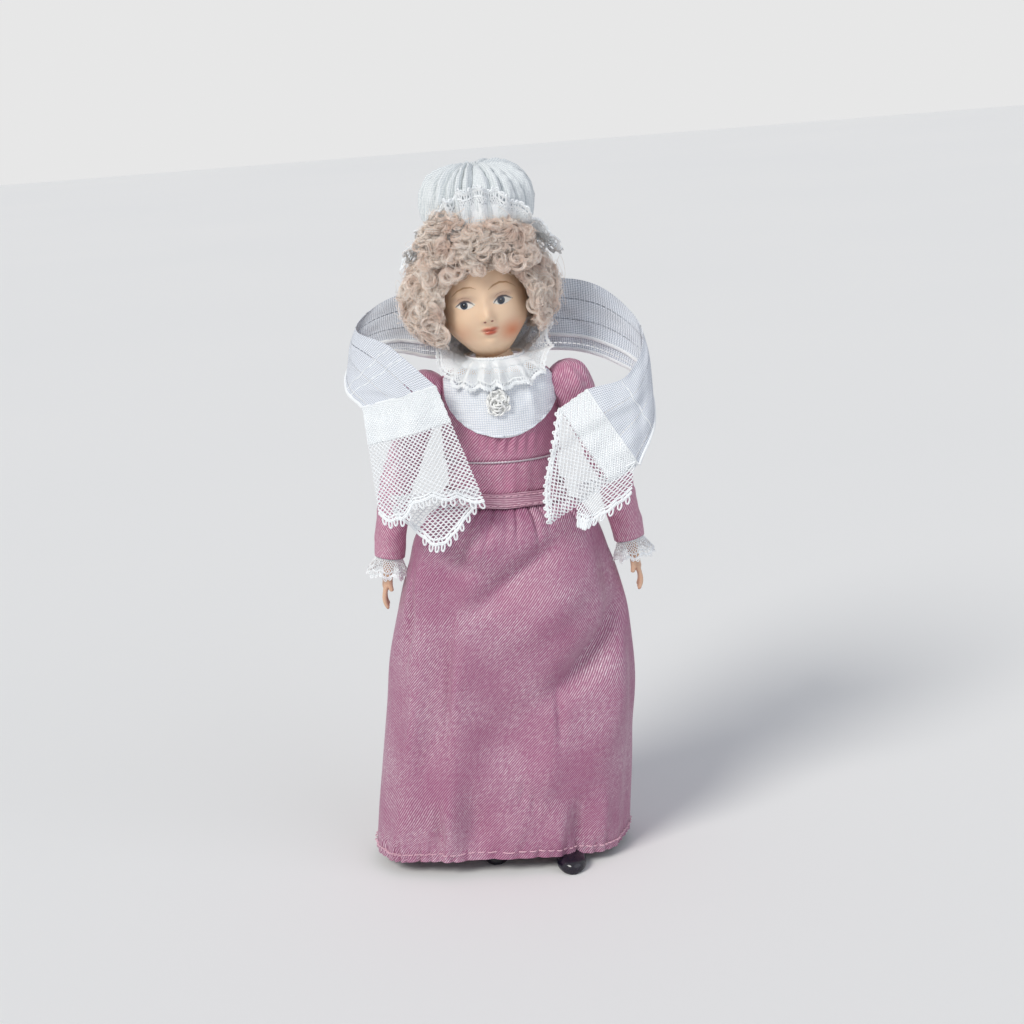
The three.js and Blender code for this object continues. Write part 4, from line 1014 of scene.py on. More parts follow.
@dataclass
class Wig:
    """Crimped mohair: a soft lumpy mass under tight ringlets, with stray fibres."""

    window_middle: float = 0.6
    back_press: float = 0.9
    strays_count: int = 700
    half_width: float = 15.7
    half_depth: float = 11.4
    half_height: float = 12.0
    centre_up: float = 14.6
    shift: float = -0.5
    window_half: float = 9.2
    window_top: float = 21.0
    end: float = 6.8
    locks: int = 430
    strands: int = 17
    points: int = 24
    # How high the front locks rise over the cap's band, from her right to her left
    crest: Rows = Rows(((-11.5, 26.5), (-9, 30), (-6, 33), (-3, 32.5), (0, 29.6), (2, 28.8), (5, 30.4),
                        (9, 29), (12, 25.5)))
    stand: Hang = Hang((0, 1.5, 109.5), 6)

    def window(self, x: Array, z: Array) -> Array:
        """How far places are outside the opening for the face.

        Args:
            x: places across the head.
            z: places up the head.

        Returns:
            Distances in millimetres, below 0 inside it.
        """
        arch = self.window_half * 0.75
        bend = self.window_top - arch
        half = self.window_half * np.sqrt(np.clip(1 - (np.maximum(z - bend, 0) / arch) ** 2, 0, 1))
        return np.maximum(np.abs(x - self.window_middle) - half, z - self.window_top)

    def mass(self, around: int = 150, levels: int = 90) -> Shape:
        """Makes the crimped mass that the ringlets lie on, open in front of the face.

        Args:
            around: columns round the head.
            levels: rows from crown to nape.

        Returns:
            The mass.
        """
        turn = rounds(around)
        polar = ramp(0.06, math.pi * 0.72, levels)
        size = np.sin(polar) ** 0.85
        way = xyz(np.cos(turn) * size, np.sin(turn) * size, np.cos(polar) + 0 * turn)
        lump = 1 + 0.022 * swell(way * 14, 4.2, 5) + 0.012 * swell(way * 14, 1.6, 6)
        points = way * lump[..., None] * np.array([self.half_width, self.half_depth, self.half_height]) * 0.94
        points += [self.shift, 0, self.centre_up]
        strand = np.clip(0.35 + 0.25 * swell(points, 1.2, 8), 0, 1)
        shape = Shape.grid(points, around=True, along=np.full(strand.shape, 0.3), strand=strand)
        middle = shape.points[shape.faces].mean(1)
        shape.faces = shape.faces[(self.window(middle[:, 0], middle[:, 2]) > -0.2) | (middle[:, 1] > -1)]
        shape.points = self.stand.place(shape.points)
        return shape

    def seats(self, random: np.random.Generator) -> tuple[Array, Array]:
        """Where the ringlets sit.

        Args:
            random: the seeded source.

        Returns:
            Their places, and the outward direction at each.
        """
        count = self.locks * 2
        i = np.arange(count) + 0.5
        polar = np.arccos(1 - 1.72 * i / count)
        turn = i * math.pi * (3 - math.sqrt(5))
        way = xyz(np.cos(turn) * np.sin(polar), np.sin(turn) * np.sin(polar), np.cos(polar))
        size = np.array([self.half_width, self.half_depth, self.half_height])
        seat = way * size * random.uniform(0.93, 1.03, (count, 1))
        seat += [self.shift, 0, self.centre_up]
        # Pressed flatter at the back, so that it turns clear of the stole
        seat[:, 1] = np.where(seat[:, 1] > 0, seat[:, 1] * self.back_press, seat[:, 1])
        free = (self.window(seat[:, 0], seat[:, 2]) > 0.5) | (seat[:, 1] > 1)
        keep = free & (seat[:, 2] > self.end) & (seat[:, 2] < self.centre_up + self.half_height * 0.9)
        rim = np.linspace(0, 1, 34)
        angle = math.pi * (1.02 - 1.04 * rim)
        arch = self.window_half * 0.75
        x = self.window_middle + (self.window_half + 0.7) * np.cos(angle)
        z = np.where(np.abs(rim - 0.5) < 0.5, self.window_top - arch + (arch + 0.7) * np.sin(angle), 12)
        fringe = xyz(x, 0 * x, z)
        sides = xyz(np.repeat([-9.9, 11.3], 9), 0, np.tile(np.linspace(7.0, 14.6, 9), 2))
        low = xyz(random.uniform(-9.4, -3.4, 16), 0, random.uniform(16.6, 20.5, 16))
        low = low[low[:, 2] > 16.6 + 0.62 * (low[:, 0] + 9.4)]
        front = np.concatenate([fringe, sides, low])
        share = ((front[:, 0] / 17) ** 2 + ((front[:, 2] - self.centre_up) / 13.5) ** 2).clip(0, 0.96)
        front[:, 1] = -self.half_depth * np.sqrt(1 - share) * random.uniform(0.86, 1.0, len(front))
        x = random.uniform(-11.5, 12, 150)
        top = self.crest.at(x)[:, 0]
        z = top - random.uniform(0, 1, len(x)) ** 1.3 * (top - 20.5)
        crest = xyz(x, -12.6 * np.sqrt(1 - (x / 16) ** 2) + 0.16 * (z - 22), z)
        every = np.concatenate([seat[keep], front, crest])
        return every, unit((every - np.array([0, 0, self.centre_up])) / size**2)

    def ringlets(self, random: np.random.Generator) -> Shape:
        """Makes tight loops of many fibres, some flat on the mass and some on edge.

        Args:
            random: the seeded source.

        Returns:
            The fibres.
        """
        seat, out = self.seats(random)
        count = len(seat)
        stray = unit(random.normal(size=(count, 3)))
        axis = unit(out * random.uniform(0.5, 1.6, (count, 1)) + stray * 0.62)
        first = unit(np.cross(axis, unit(random.normal(size=(count, 3)))))
        second = np.cross(axis, first)
        low = ease(self.centre_up + 3 - seat[:, 2], 0, 8)
        radius = random.uniform(0.75, 1.75, count) + 0.3 * low
        turns = random.uniform(0.9, 1.9, count)
        rise = random.uniform(0.3, 1.6, count)
        t = np.linspace(0, 1, self.points)[None, None, :]
        n = self.strands
        spread = random.normal(size=(count, n, 2)) * 0.21
        phase = random.uniform(-0.2, 0.2, (count, n, 1))
        angle = (turns[:, None, None] * t + phase) * 2 * math.pi
        shrink = (1 - 0.35 * t) * radius[:, None, None] + spread[..., :1] * (0.6 + t)
        lift = rise[:, None, None] * (t - 0.4) + spread[..., 1:] * (0.6 + 0.8 * t)
        crimp = 0.05 * np.sin(t * 37 + spread[..., :1] * 60)
        wound = (shrink + crimp)[..., None]
        path = seat[:, None, None] + out[:, None, None] * 0.35
        path = path + wound * np.cos(angle)[..., None] * first[:, None, None]
        path = path + wound * np.sin(angle)[..., None] * second[:, None, None]
        path = path + lift[..., None] * axis[:, None, None]
        path = path.reshape(count * n, self.points, 3)
        size = 0.042 * ramp(1.1, 0.5, self.points) * random.uniform(0.7, 1.3, (count * n, 1))
        return Shape.tubes(self.stand.place(path), size, 3)

    def strays(self, random: np.random.Generator) -> Shape:
        """Makes fine single fibres that stand off the mass in open arcs.

        Args:
            random: the seeded source.

        Returns:
            The fibres.
        """
        count = self.strays_count
        seat, out = self.seats(random)
        pick = random.integers(0, len(seat), count)
        seat, out = seat[pick], out[pick]
        way = unit(np.cross(out, random.normal(size=(count, 3))))
        t = np.linspace(0, 1, 16)[None, :, None]
        reach = random.uniform(1.2, 3.4, (count, 1, 1))
        bend = random.uniform(1.5, 5.5, (count, 1, 1))
        path = seat[:, None] + out[:, None] * reach * np.sin(t * math.pi * 0.8) * 0.75
        path = path + way[:, None] * reach * np.sin(t * bend)
        path = path + 0.3 * np.cross(out, way)[:, None] * np.sin(t * bend * 2.2)
        return Shape.tubes(self.stand.place(path), 0.035, 3)

    def build(self) -> None:
        """Makes the mass, the ringlets and the stray fibres."""
        random = np.random.default_rng(17)
        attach(piece("wig_mass", self.mass(), HAIR, "mohair", "wig"), "head")
        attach(piece("wig_ringlets", self.ringlets(random), HAIR, "mohair"), "head")
        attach(piece("wig_strays", self.strays(random), HAIR, "mohair"), "head")


@dataclass(frozen=True)
class LaceStrip:
    """A strip of machine lace worked in thread: a close heading, net, an open row and an edge with picots.

    Sizes are flat, in millimetres. Its depth is given at shares of its length, so that it can be slanted.
    """

    length: float
    depth: Rows
    cell: float = 0.85
    course: float = 0.85
    thread: float = 0.1
    heading: float = 0.0
    open_row: float = 1.3
    scallops: int = 20
    scallop_depth: float = 0.35
    picot: float = 0.7
    picot_every: float = 1.5
    picots_to: float = 1.0
    sides: int = 3
    motif: tuple[float, float] = (0.0, 0.0)

    def edge(self, s: Array) -> Array:
        """How deep the strip is at a place along it, with its scallops."""
        plain = self.depth.at(s / self.length)[..., 0]
        return plain + self.scallop_depth * np.abs(np.sin(math.pi * self.scallops * s / self.length))

    def wales(self, start: float, end: Callable[[Array], Array], cell: float, course: float) -> Array:
        """Runs threads down the strip that touch their neighbours in turn, so that they close into cells.

        Args:
            start: where they begin, down from the gathered edge.
            end: where they stop, at places along the strip.
            cell: the width of a cell.
            course: the height of a cell.

        Returns:
            Flat paths, indexed [thread, point].
        """
        count = max(2, int(self.length / (cell / 2)))
        step = self.length / count
        base = (np.arange(count)[:, None] + 0.5) * step
        stop = end(base)
        rows = max(1, math.ceil(float(stop.max() - start) / course))
        k = np.arange(rows * 4 + 1)[None, :]
        swing = np.where((k % 4) < 2, 1.0, -1.0) * np.where(np.arange(count)[:, None] % 2, 1.0, -1.0)
        down = np.minimum(start + course * (k + 0.25) / 4, stop)
        return np.stack([base + swing * (step / 2 - self.thread * 0.55), down], -1)

    def filling(self) -> Array:
        """Bars across the cells outside the motif's open diamonds.

        Returns:
            Flat paths, indexed [thread, point].
        """
        wide, tall = self.motif
        step = self.cell / 2
        rows = np.arange(self.heading, 40, self.course)
        s, t = np.meshgrid(np.arange(step, self.length - step, step), rows, indexing="ij")
        t = t + self.course * np.where(np.arange(s.shape[0])[:, None] % 2, 0.25, 0.75)
        off = np.abs((s / wide) % 1 - 0.5) + np.abs((t / tall) % 1 - 0.5)
        keep = ((off < 0.2) | ((off > 0.42) & (off < 0.62))) & (t < self.edge(s) - self.open_row - 0.4)
        s, t = s[keep][:, None], t[keep][:, None]
        reach = ramp(-0.5, 0.5, 3) * step * 1.1
        return np.stack([s + reach, t + 0.12 * np.abs(reach)], -1)

    def threads(self) -> list[tuple[Array, Array | float, bool]]:
        """Every thread of the strip.

        Returns:
            Flat paths with their radius and whether they are loops.
        """
        net = self.wales(self.heading, lambda s: self.edge(s) - self.open_row, self.cell, self.course)
        made = [(net, self.thread, False)]
        if self.heading:
            close = self.wales(0, lambda s: np.full_like(s, self.heading), self.cell * 0.7,
                               self.course * 0.62)
            j = np.arange(close.shape[1])[None, :] * 2.1 + np.arange(close.shape[0])[:, None] * 1.7
            made.append((close, self.thread * (1.6 + 0.75 * np.sin(j)), False))
        if self.motif[0]:
            made.append((self.filling(), self.thread * 0.9, False))
        s = np.linspace(0, self.length, max(40, int(self.length * 2.2)))
        made.append((np.stack([s, np.full_like(s, 0.05)], -1)[None], self.thread * 1.8, False))
        if self.open_row:
            made.append((np.stack([s, self.edge(s) - self.open_row], -1)[None], self.thread * 1.5, False))
            posts = np.arange(0.3, self.length, 0.95)
            foot = self.edge(posts)
            t = np.linspace(0, 1, 5)
            lean = np.where(np.arange(len(posts)) % 2, 0.22, -0.22)
            down = foot[:, None] - self.open_row * (1 - t)
            along = posts[:, None] + lean[:, None] * (2 * t - 1)
            made.append((np.stack([along, down], -1), self.thread * 1.3, False))
        for shift in (0.0, 0.28):
            made.append((np.stack([s, self.edge(s) - shift], -1)[None], self.thread * 1.7, False))
        if self.picot:
            every = self.picot_every
            roots = np.arange(every / 2, self.length * self.picots_to - every / 4, every)[:, None]
            a = np.linspace(0, 2 * math.pi, 14, endpoint=False)
            loop_s = roots + every * 0.26 * np.sin(a) + 0.12 * np.sin(roots * 5) * (1 - np.cos(a))
            loop_t = self.edge(roots) - 0.1 + self.picot * (1 - np.cos(a)) / 2
            made.append((np.stack([loop_s, loop_t], -1), self.thread * 1.35, True))
        return made

    def lay(self, surface: Surface) -> Shape:
        """Lays the strip on a surface.

        Args:
            surface: gives places for flat places along and down the strip.

        Returns:
            The threads in place.
        """
        shapes = [Shape.tubes(surface(flat[..., 0], flat[..., 1]), radius, self.sides, looped)
                  for flat, radius, looped in self.threads()]
        return Shape.join(shapes)


def even(depth: float) -> Rows:
    """The same depth all along a strip."""
    return Rows(((0, depth), (1, depth)))


@dataclass
class MobCap:
    """The cap: a puffed crown drawn in by gathers, its band, and a lace frill that turns up in front."""

    radius: float = 11.9
    deep: float = 0.94
    height: float = 12.8
    gathers: int = 27
    band: float = 1.4
    frill: LaceStrip = LaceStrip(150, even(7.0), 0.95, 0.8, 0.14, heading=4.9, open_row=1.2, scallops=30,
                                 picot=0.5, motif=(3.0, 3.2))
    stand: Hang = Hang((-1.1, 1.5, 136.4), 0.5)
    # Shares of the radius and of the height at a share of the way up the cloth
    profile: Rows = Rows(((0, 0.82, 0), (0.1, 0.92, 0.08), (0.3, 1.0, 0.3), (0.52, 0.99, 0.58),
                          (0.7, 0.86, 0.82), (0.84, 0.6, 0.97), (0.94, 0.3, 1.0), (1.0, 0.06, 0.93)))

    def crown(self) -> None:
        """The crown, in rounded flutes with deep creases between them."""
        around, levels = self.gathers * 18, 70
        turn = rounds(around)
        share = ramp(0, 1, levels)
        size, rise = np.moveaxis(self.profile.at(share + 0 * turn), -1, 0)
        phase = self.gathers * turn / 2 + 0.9 * np.sin(3 * turn) + 0.6 * np.sin(7 * turn + 1)
        phase = phase + 0.16 * np.sin(5 * share * math.pi + turn * 4) + 0.3 * np.sin(11 * turn + 2 * share)
        flute = np.abs(np.cos(phase)) ** 0.75
        which = np.floor(phase / math.pi + 0.5)
        lot = np.sin(which * 12.9898) * 0.5 + np.sin(which * 4.1) * 0.5
        depth = (0.07 + 0.09 * ease(share, 0.35, 0.95) + 0.05 * ease(0.2 - share, 0, 0.2)) * (1 + 0.45 * lot)
        bulge = 1 - depth * (1 - flute) * 1.5 + 0.04 * lot * np.sin(share * math.pi)
        bulge = bulge + 0.012 * np.sin(phase * 4.6 + share * 9) * ease(share, 0.02, 0.2)
        radius = self.radius * size * bulge
        dip = 1.1 * (1 - flute) * ease(share, 0.45, 0.9)
        z = self.band + self.height * rise * (1 + 0.05 * lot * ease(share, 0.2, 0.8)) - dip
        points = circle(radius, turn, z, self.deep)
        points += 0.1 * swell(points, 1.7, 31)[..., None] * unit(points)
        cloth = xyz(turn * self.radius * 1.25, share * 24, 0 * share)
        shape = Shape.grid(self.stand.place(points), around=True, cloth=cloth)
        self.cloth = piece("cap_crown_cloth", shape, CAP_COTTON, "cap_cotton", "cap_crown")
        thicken(self.cloth, 0.18)
        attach(self.cloth, "head")

    def binding(self) -> None:
        """The band that the crown and the frill are gathered on."""
        turn = rounds(190)
        v = ramp(0, 1, 9)
        pucker = 0.12 * np.sin(turn * 47) * np.sin(v * math.pi)
        radius = self.radius * 0.84 + 0.25 * np.sin(v * math.pi) + pucker
        points = circle(radius, turn, -0.3 + (self.band + 0.9) * v, self.deep)
        shape = Shape.grid(self.stand.place(points), around=True, cloth=xyz(turn * 10, v * 2, 0 * v))
        self.strip = thicken(piece("cap_band_cloth", shape, CAP_COTTON, "cap_cotton", "cap_band"), 0.3)
        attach(self.strip, "head")

    def ruffle(self, s: Array, t: Array) -> Array:
        """Where the frill lies.

        Args:
            s: millimetres round the cap from the back.
            t: millimetres from the band to the free edge.

        Returns:
            Places in the doll's frame.
        """
        turn = math.pi / 2 + 2 * math.pi * s / self.frill.length
        t = t / self.frill.depth.rows[0][1]
        front = np.maximum(0, -np.sin(turn)) ** 1.2
        reach = (5.8 * (1 - front) + 1.6 * front) * t
        phase = 21 * turn + 1.3 * np.sin(3 * turn)
        wave = np.sin(phase) + 0.45 * np.sin(34 * turn + 2 * t)
        radius = self.radius * 0.87 + 0.5 * front + reach + 0.6 * t**0.6 * wave * (0.6 + 0.5 * front)
        up = self.band * 0.5 + 1.4 * front + (7.6 * front - 5.4 * (1 - front)) * t**1.2
        up = up + 0.7 * t * np.cos(phase) * (1 - 0.5 * front)
        return self.stand.place(circle(radius, turn, up, self.deep))

    def build(self) -> None:
        """Makes the crown, the band and the frill."""
        self.crown()
        self.binding()
        frill = piece("cap_frill_lace", self.frill.lay(self.ruffle), LACE, "lace", "cap_frill")
        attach(frill, "head")


@dataclass(frozen=True)
class Trunk:
    """The form under the gown: half width and half depth at a share of the height from hip to neck."""

    hip: float = 64.0
    length: float = 45.5
    setback: float = 1.0
    shares: Rows = Rows((
        (-0.04, 6.96, 4.96), (0.08, 10.67, 7.2), (0.22, 11.6, 8.0), (0.36, 11.1, 7.44), (0.44, 10.6, 7.12),
        (0.57, 10.9, 7.6), (0.71, 11.2, 8.0), (0.82, 11.2, 7.76), (0.91, 10.98, 6.96), (0.955, 9.86, 6.4),
        (0.985, 7.6, 6.0), (1.0, 6.05, 5.6),
    ))

    def half(self, z: Array) -> tuple[Array, Array]:
        """Half width and half depth at a height."""
        values = self.shares.at((np.asarray(z, float) - self.hip) / self.length)
        return values[..., 0], values[..., 1]

    def ring(self, turn: Array, z: Array, grow: Array | float) -> Array:
        """Places round the trunk, grown outwards by an amount."""
        wide, deep = self.half(z)
        return xyz((wide + grow) * np.cos(turn), self.setback + (deep + grow) * np.sin(turn), z)

    def front(self, x: Array, z: Array, grow: float) -> Array:
        """Places on the chest, grown outwards.

        Args:
            x: places across it.
            z: heights.
            grow: how far they are grown, in millimetres.

        Returns:
            Places in the doll's frame.
        """
        wide, deep = self.half(z)
        share = np.clip(1 - (x / (wide + grow)) ** 2, 0.02, 1)
        return xyz(x, self.setback - (deep + grow) * np.sqrt(share), z)


TRUNK = Trunk()


@dataclass(frozen=True)
class Dent:
    """A long swelling, or with a height below 0 a hollow, in hanging cloth.

    Its middle is at a turn in degrees and a share of the cloth's drop. Its half length, half width and height
    are in millimetres, and its length falls towards the doll's right at a slant in degrees.
    """

    turn: float
    drop: float
    length: float
    width: float
    slant: float
    height: float

    def at(self, turn: Array, drop: Array, radius: Array, fall: float) -> Array:
        """The height at places on the cloth.

        Args:
            turn: angles round the cloth.
            drop: shares of its drop.
            radius: its half width at each place.
            fall: its whole drop, in millimetres.

        Returns:
            Heights in millimetres.
        """
        away = turn - math.radians(self.turn)
        across = np.arctan2(np.sin(away), np.cos(away)) * radius
        down = (drop - self.drop) * fall
        s, c = math.sin(math.radians(self.slant)), math.cos(math.radians(self.slant))
        lengthways, sideways = (down * s - across * c) / self.length, (across * s + down * c) / self.width
        return self.height * np.exp(-(lengthways**2) - sideways**2)


def tucks(turn: Array, far: Array, seed: int, spacing: float, reach: tuple[float, float],
          deep: float) -> Array:
    """Small creases that run from a gathered edge.

    Args:
        turn: angles round the cloth.
        far: millimetres from the edge.
        seed: picks the pattern.
        spacing: usual degrees from one crease to the next.
        reach: the shortest and the longest crease, in millimetres.
        deep: the depth of the deepest, in millimetres.

    Returns:
        Heights in millimetres, 0 or less.
    """
    random = np.random.default_rng(seed)
    total = np.zeros(np.broadcast(turn, far).shape)
    for centre in np.arange(0, 360, spacing):
        line = math.radians(centre + random.uniform(-0.35, 0.35) * spacing)
        long, width = random.uniform(*reach), math.radians(spacing * random.uniform(0.14, 0.26))
        away = turn - line - random.uniform(-0.006, 0.006) * far
        off = np.arctan2(np.sin(away), np.cos(away))
        cut = deep * random.uniform(0.3, 1) * np.exp(-((off / width) ** 2))
        total -= cut * ease(long - far, 0, 0.9 * long)
    return total


def seated(points: Array, room: float) -> Array:
    """Presses cloth in round each shoulder, so that the arm has its seat.

    Args:
        points: places on the cloth.
        room: how far from the shoulder's centre the cloth stays.

    Returns:
        The pressed places.
    """
    shoulder = np.array([15.0, 1.0, 104.5])
    points = points.copy()
    for sign in (1, -1):
        off = points - shoulder
        off[..., 0] = 0
        left = room**2 - (off**2).sum(-1)
        limit = shoulder[0] - np.sqrt(np.maximum(left, 0))
        over = (left > 0) & (points[..., 0] * sign > limit)
        points[..., 0] = np.where(over, sign * limit, points[..., 0])
    return points


@dataclass
class Gown:
    """The satin gown's bodice, tie, ribbon and skirt, and the chemisette that shows in its neck."""

    waist: float = 82.5
    hem: float = 3.8
    grow: float = 1.1
    bodice_top: float = 107.9
    bib_half: float = 12.0
    bib_bottom: float = 95.3
    bib_top: float = 108.3
    ribbon_drop: float = 0.9
    split: float = 50.0
    tie_height: float = 89.8
    ribbon_width: float = 3.1
    stitch_step: float = 0.062
    # How much the dents are deepened, and how far up from the hem the stitches and the turning are, in mm
    fold_depth: float = 2.1
    stitches_up: float = 1.7
    turning_up: float = 2.3
    # Half width, half depth and shift towards her right at a share of the skirt's drop
    form: Rows = Rows((
        (0, 11.3, 7.8, 0), (0.022, 11.6, 8.1, 0), (0.055, 16.0, 10.8, 0.1), (0.1, 18.9, 12.5, 0.3),
        (0.19, 21.3, 13.4, 0.4), (0.3, 24.0, 13.9, 0.6), (0.42, 25.8, 14.3, 1.2), (0.7, 27.2, 14.9, 3.6),
        (1, 27.8, 15.2, 6.7),
    ))
    dents: tuple[Dent, ...] = (
        Dent(-84, 0.205, 12, 2.8, 32, -1.3), Dent(-120, 0.155, 8, 2.0, 145, -0.6),
        Dent(-108, 0.12, 6, 3.5, 60, 0.5), Dent(-150, 0.2, 9, 5, 70, 0.8), Dent(-68, 0.3, 13, 4.6, 32, 1.1),
        Dent(-48, 0.445, 14, 3.2, 33, -1.8), Dent(-62, 0.385, 10, 3.6, 35, 0.6),
        Dent(-45, 0.63, 14, 7, 60, 1.1), Dent(-92, 0.66, 8, 5, 85, -0.8), Dent(-79, 0.78, 8, 3.5, 80, 0.6),
        Dent(-100, 0.89, 7, 2.6, 100, -1.0), Dent(-115, 0.93, 5, 2.0, 95, -0.8),
        Dent(-108, 0.87, 7, 2.4, 95, 0.6), Dent(-60, 0.92, 5.5, 2.4, 95, -0.9),
        Dent(-88, 0.93, 5, 2.2, 90, 0.5), Dent(-72, 0.93, 5, 2.4, 90, 0.5), Dent(-46, 0.9, 7, 3, 90, 0.5),
        Dent(-151, 0.31, 9, 1.4, 95, -0.5), Dent(-118, 0.5, 12, 1.1, 95, -0.45),
        Dent(-113, 0.5, 11, 2.2, 95, 0.4), Dent(-71, 0.61, 5, 0.9, 88, -0.4),
        Dent(-86, 0.81, 2.6, 0.55, 92, -0.4), Dent(-82.5, 0.835, 2.8, 0.55, 97, -0.4),
        Dent(-135, 0.6, 14, 3, 92, 0.5), Dent(-28, 0.3, 10, 4, 80, -0.7), Dent(80, 0.6, 20, 5, 85, -1.0),
        Dent(130, 0.6, 20, 6, 85, 0.8), Dent(35, 0.6, 20, 5, 85, 0.8), Dent(105, 0.5, 22, 3, 92, 0.7),
        Dent(58, 0.55, 18, 3, 88, -0.7), Dent(152, 0.55, 20, 3, 90, -0.6), Dent(12, 0.6, 18, 4, 92, -0.7),
    )

    def bodice(self) -> None:
        """The bodice, dented where the arms seat and gathered under the chemisette."""
        turn = np.linspace(math.pi / 2, math.pi * 2.5, 261)[:, None]
        z = ramp(self.waist + 0.3, self.bodice_top, 110)
        points = TRUNK.ring(turn, z, self.grow)
        middle = np.exp(-(((points[..., 0] - 1.2) / 5.5) ** 2)) * (points[..., 1] < 0)
        gather = 0.36 * np.sin(points[..., 0] * 3.0 + 0.8 * np.sin(z * 0.7))
        gather = gather * ease(z, 90.5, 93.5) * ease(96.3 - z, 0, 1.5)
        gather = gather - 0.12 * np.sin(points[..., 0] * 2.1 + 1.0) * ease(91 - points[..., 2], 0, 3)
        tie = -0.3 * np.exp(-(((z - self.tie_height) / 0.55) ** 2))
        soft = 0.16 * swell(points, 8, 41) + 0.05 * swell(points, 2.6, 42)
        points += (gather * middle + tie + soft)[..., None] * level_out(points)
        points = seated(points, 4.7)
        cloth = xyz(turn * 10.6, z, 0 * z)
        # The bodice takes the satin painted lighter for the light on it
        body = piece("bodice_satin", Shape.grid(points, cloth=cloth), LIT_SATIN, "satin", "bodice")
        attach(thicken(body, 0.3), "torso")
        ribbon = self.ribbon()
        tie_piece = self.tie()

    def ribbon(self) -> bpy.types.Object:
        """Makes the ribbon round the waist, with a stitched line near each edge.

        Returns:
            The ribbon without its stitches.
        """
        turn = rounds(240)
        v = ramp(0, 1, 13)
        foot, wide = self.waist - self.ribbon_drop - self.ribbon_width / 2, self.ribbon_width
        z = foot + wide * v + 0.16 * np.sin(2 * turn + 0.5) + 0.05 * np.sin(9 * turn)
        tuck = 0.07 * np.sin(turn * 21 + 2 * v) * np.sin(v * math.pi)
        roll = 0.16 * (np.exp(-((v / 0.09) ** 2)) + np.exp(-(((v - 1) / 0.09) ** 2)))
        points = TRUNK.ring(turn, z, self.grow + 0.62 + tuck + roll)
        cloth = xyz(turn * 10.8, v * wide, 0 * v)
        band = piece("waist_ribbon_satin", Shape.grid(points, around=True, cloth=cloth), RIBBON,
                     "satin_ribbon", "waist_ribbon")
        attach(thicken(band, 0.22), "torso")
        stitches = []
        for height in (0.17, 0.83):
            start = np.arange(0, 2 * math.pi, 0.115)
            a = start[:, None] + ramp(0, 0.075, 4)
            z = foot + wide * height + 0.16 * np.sin(2 * a + 0.5) + 0.05 * np.sin(9 * a)
            proud = self.grow + 1.02 + np.array([-0.1, 0.05, 0.05, -0.1])
            stitches.append(Shape.tubes(TRUNK.ring(a, z, proud), 0.13, 4))
        sewn = piece("ribbon_stitches", Shape.join(stitches), PINK_THREAD, "satin_ribbon")
        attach(sewn, "torso")
        return band

    def tie(self) -> bpy.types.Object:
        """Makes the silvered thread tied round the bodice, as two plies twisted together.

        Returns:
            The thread.
        """
        turn = np.linspace(0, 2 * math.pi, 260, endpoint=False)
        z = self.tie_height + 0.12 * np.sin(turn * 2)
        plies = []
        for start in (0, math.pi):
            twist = turn * 52 + start
            plies.append(TRUNK.ring(turn, z + 0.1 * np.cos(twist), self.grow + 0.28 + 0.1 * np.sin(twist)))
        thread = Shape.tubes(np.stack(plies), 0.15, 5, True)
        made = piece("bodice_tie_thread", thread, SILVER_THREAD, "tie_thread", "bodice_tie")
        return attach(made, "torso")

    def bib(self) -> None:
        """The chemisette, a U of lawn over the bodice with a ruched edge."""
        v = ramp(0, 1, 90)
        u = np.linspace(-1, 1, 121)[:, None]
        z = self.bib_bottom + (self.bib_top - self.bib_bottom) * v**1.35
        bend = self.bib_half * 0.8
        low = np.clip((self.bib_bottom + bend - z) / bend, 0, 1)
        wide, _ = TRUNK.half(z)
        half = self.bib_half * np.sqrt(np.clip(1 - low**2, 0.0004, 1))
        x = np.clip(u * half + 1.0, -0.985 * (wide + self.grow), 0.985 * (wide + self.grow))
        z = z + 0.2 * np.sin(u * 23 + 4 * u * u) * (1 - v) ** 2
        ruche = 0.24 * np.sin(u * 6 + v * 46) * np.abs(u) ** 8 + 0.25 * np.abs(u) ** 14
        fold = 0.85 * np.exp(-(((x - 6.6 - 0.25 * (104 - z)) / 0.8) ** 2)) * ease(z, 98.5, 103)
        points = TRUNK.front(x, z, self.grow + 0.38)
        points[..., 1] -= ruche + fold + 0.06 * swell(points, 3, 51)
        points = seated(points, 4.35)
        shape = Shape.grid(points, cloth=xyz(x, z + 0 * x, 0 * x))
        cloth = thicken(piece("bib_lawn", shape, LAWN, "cotton_lawn", "bib"), 0.25)
        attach(cloth, "torso")
        self.chemisette = cloth

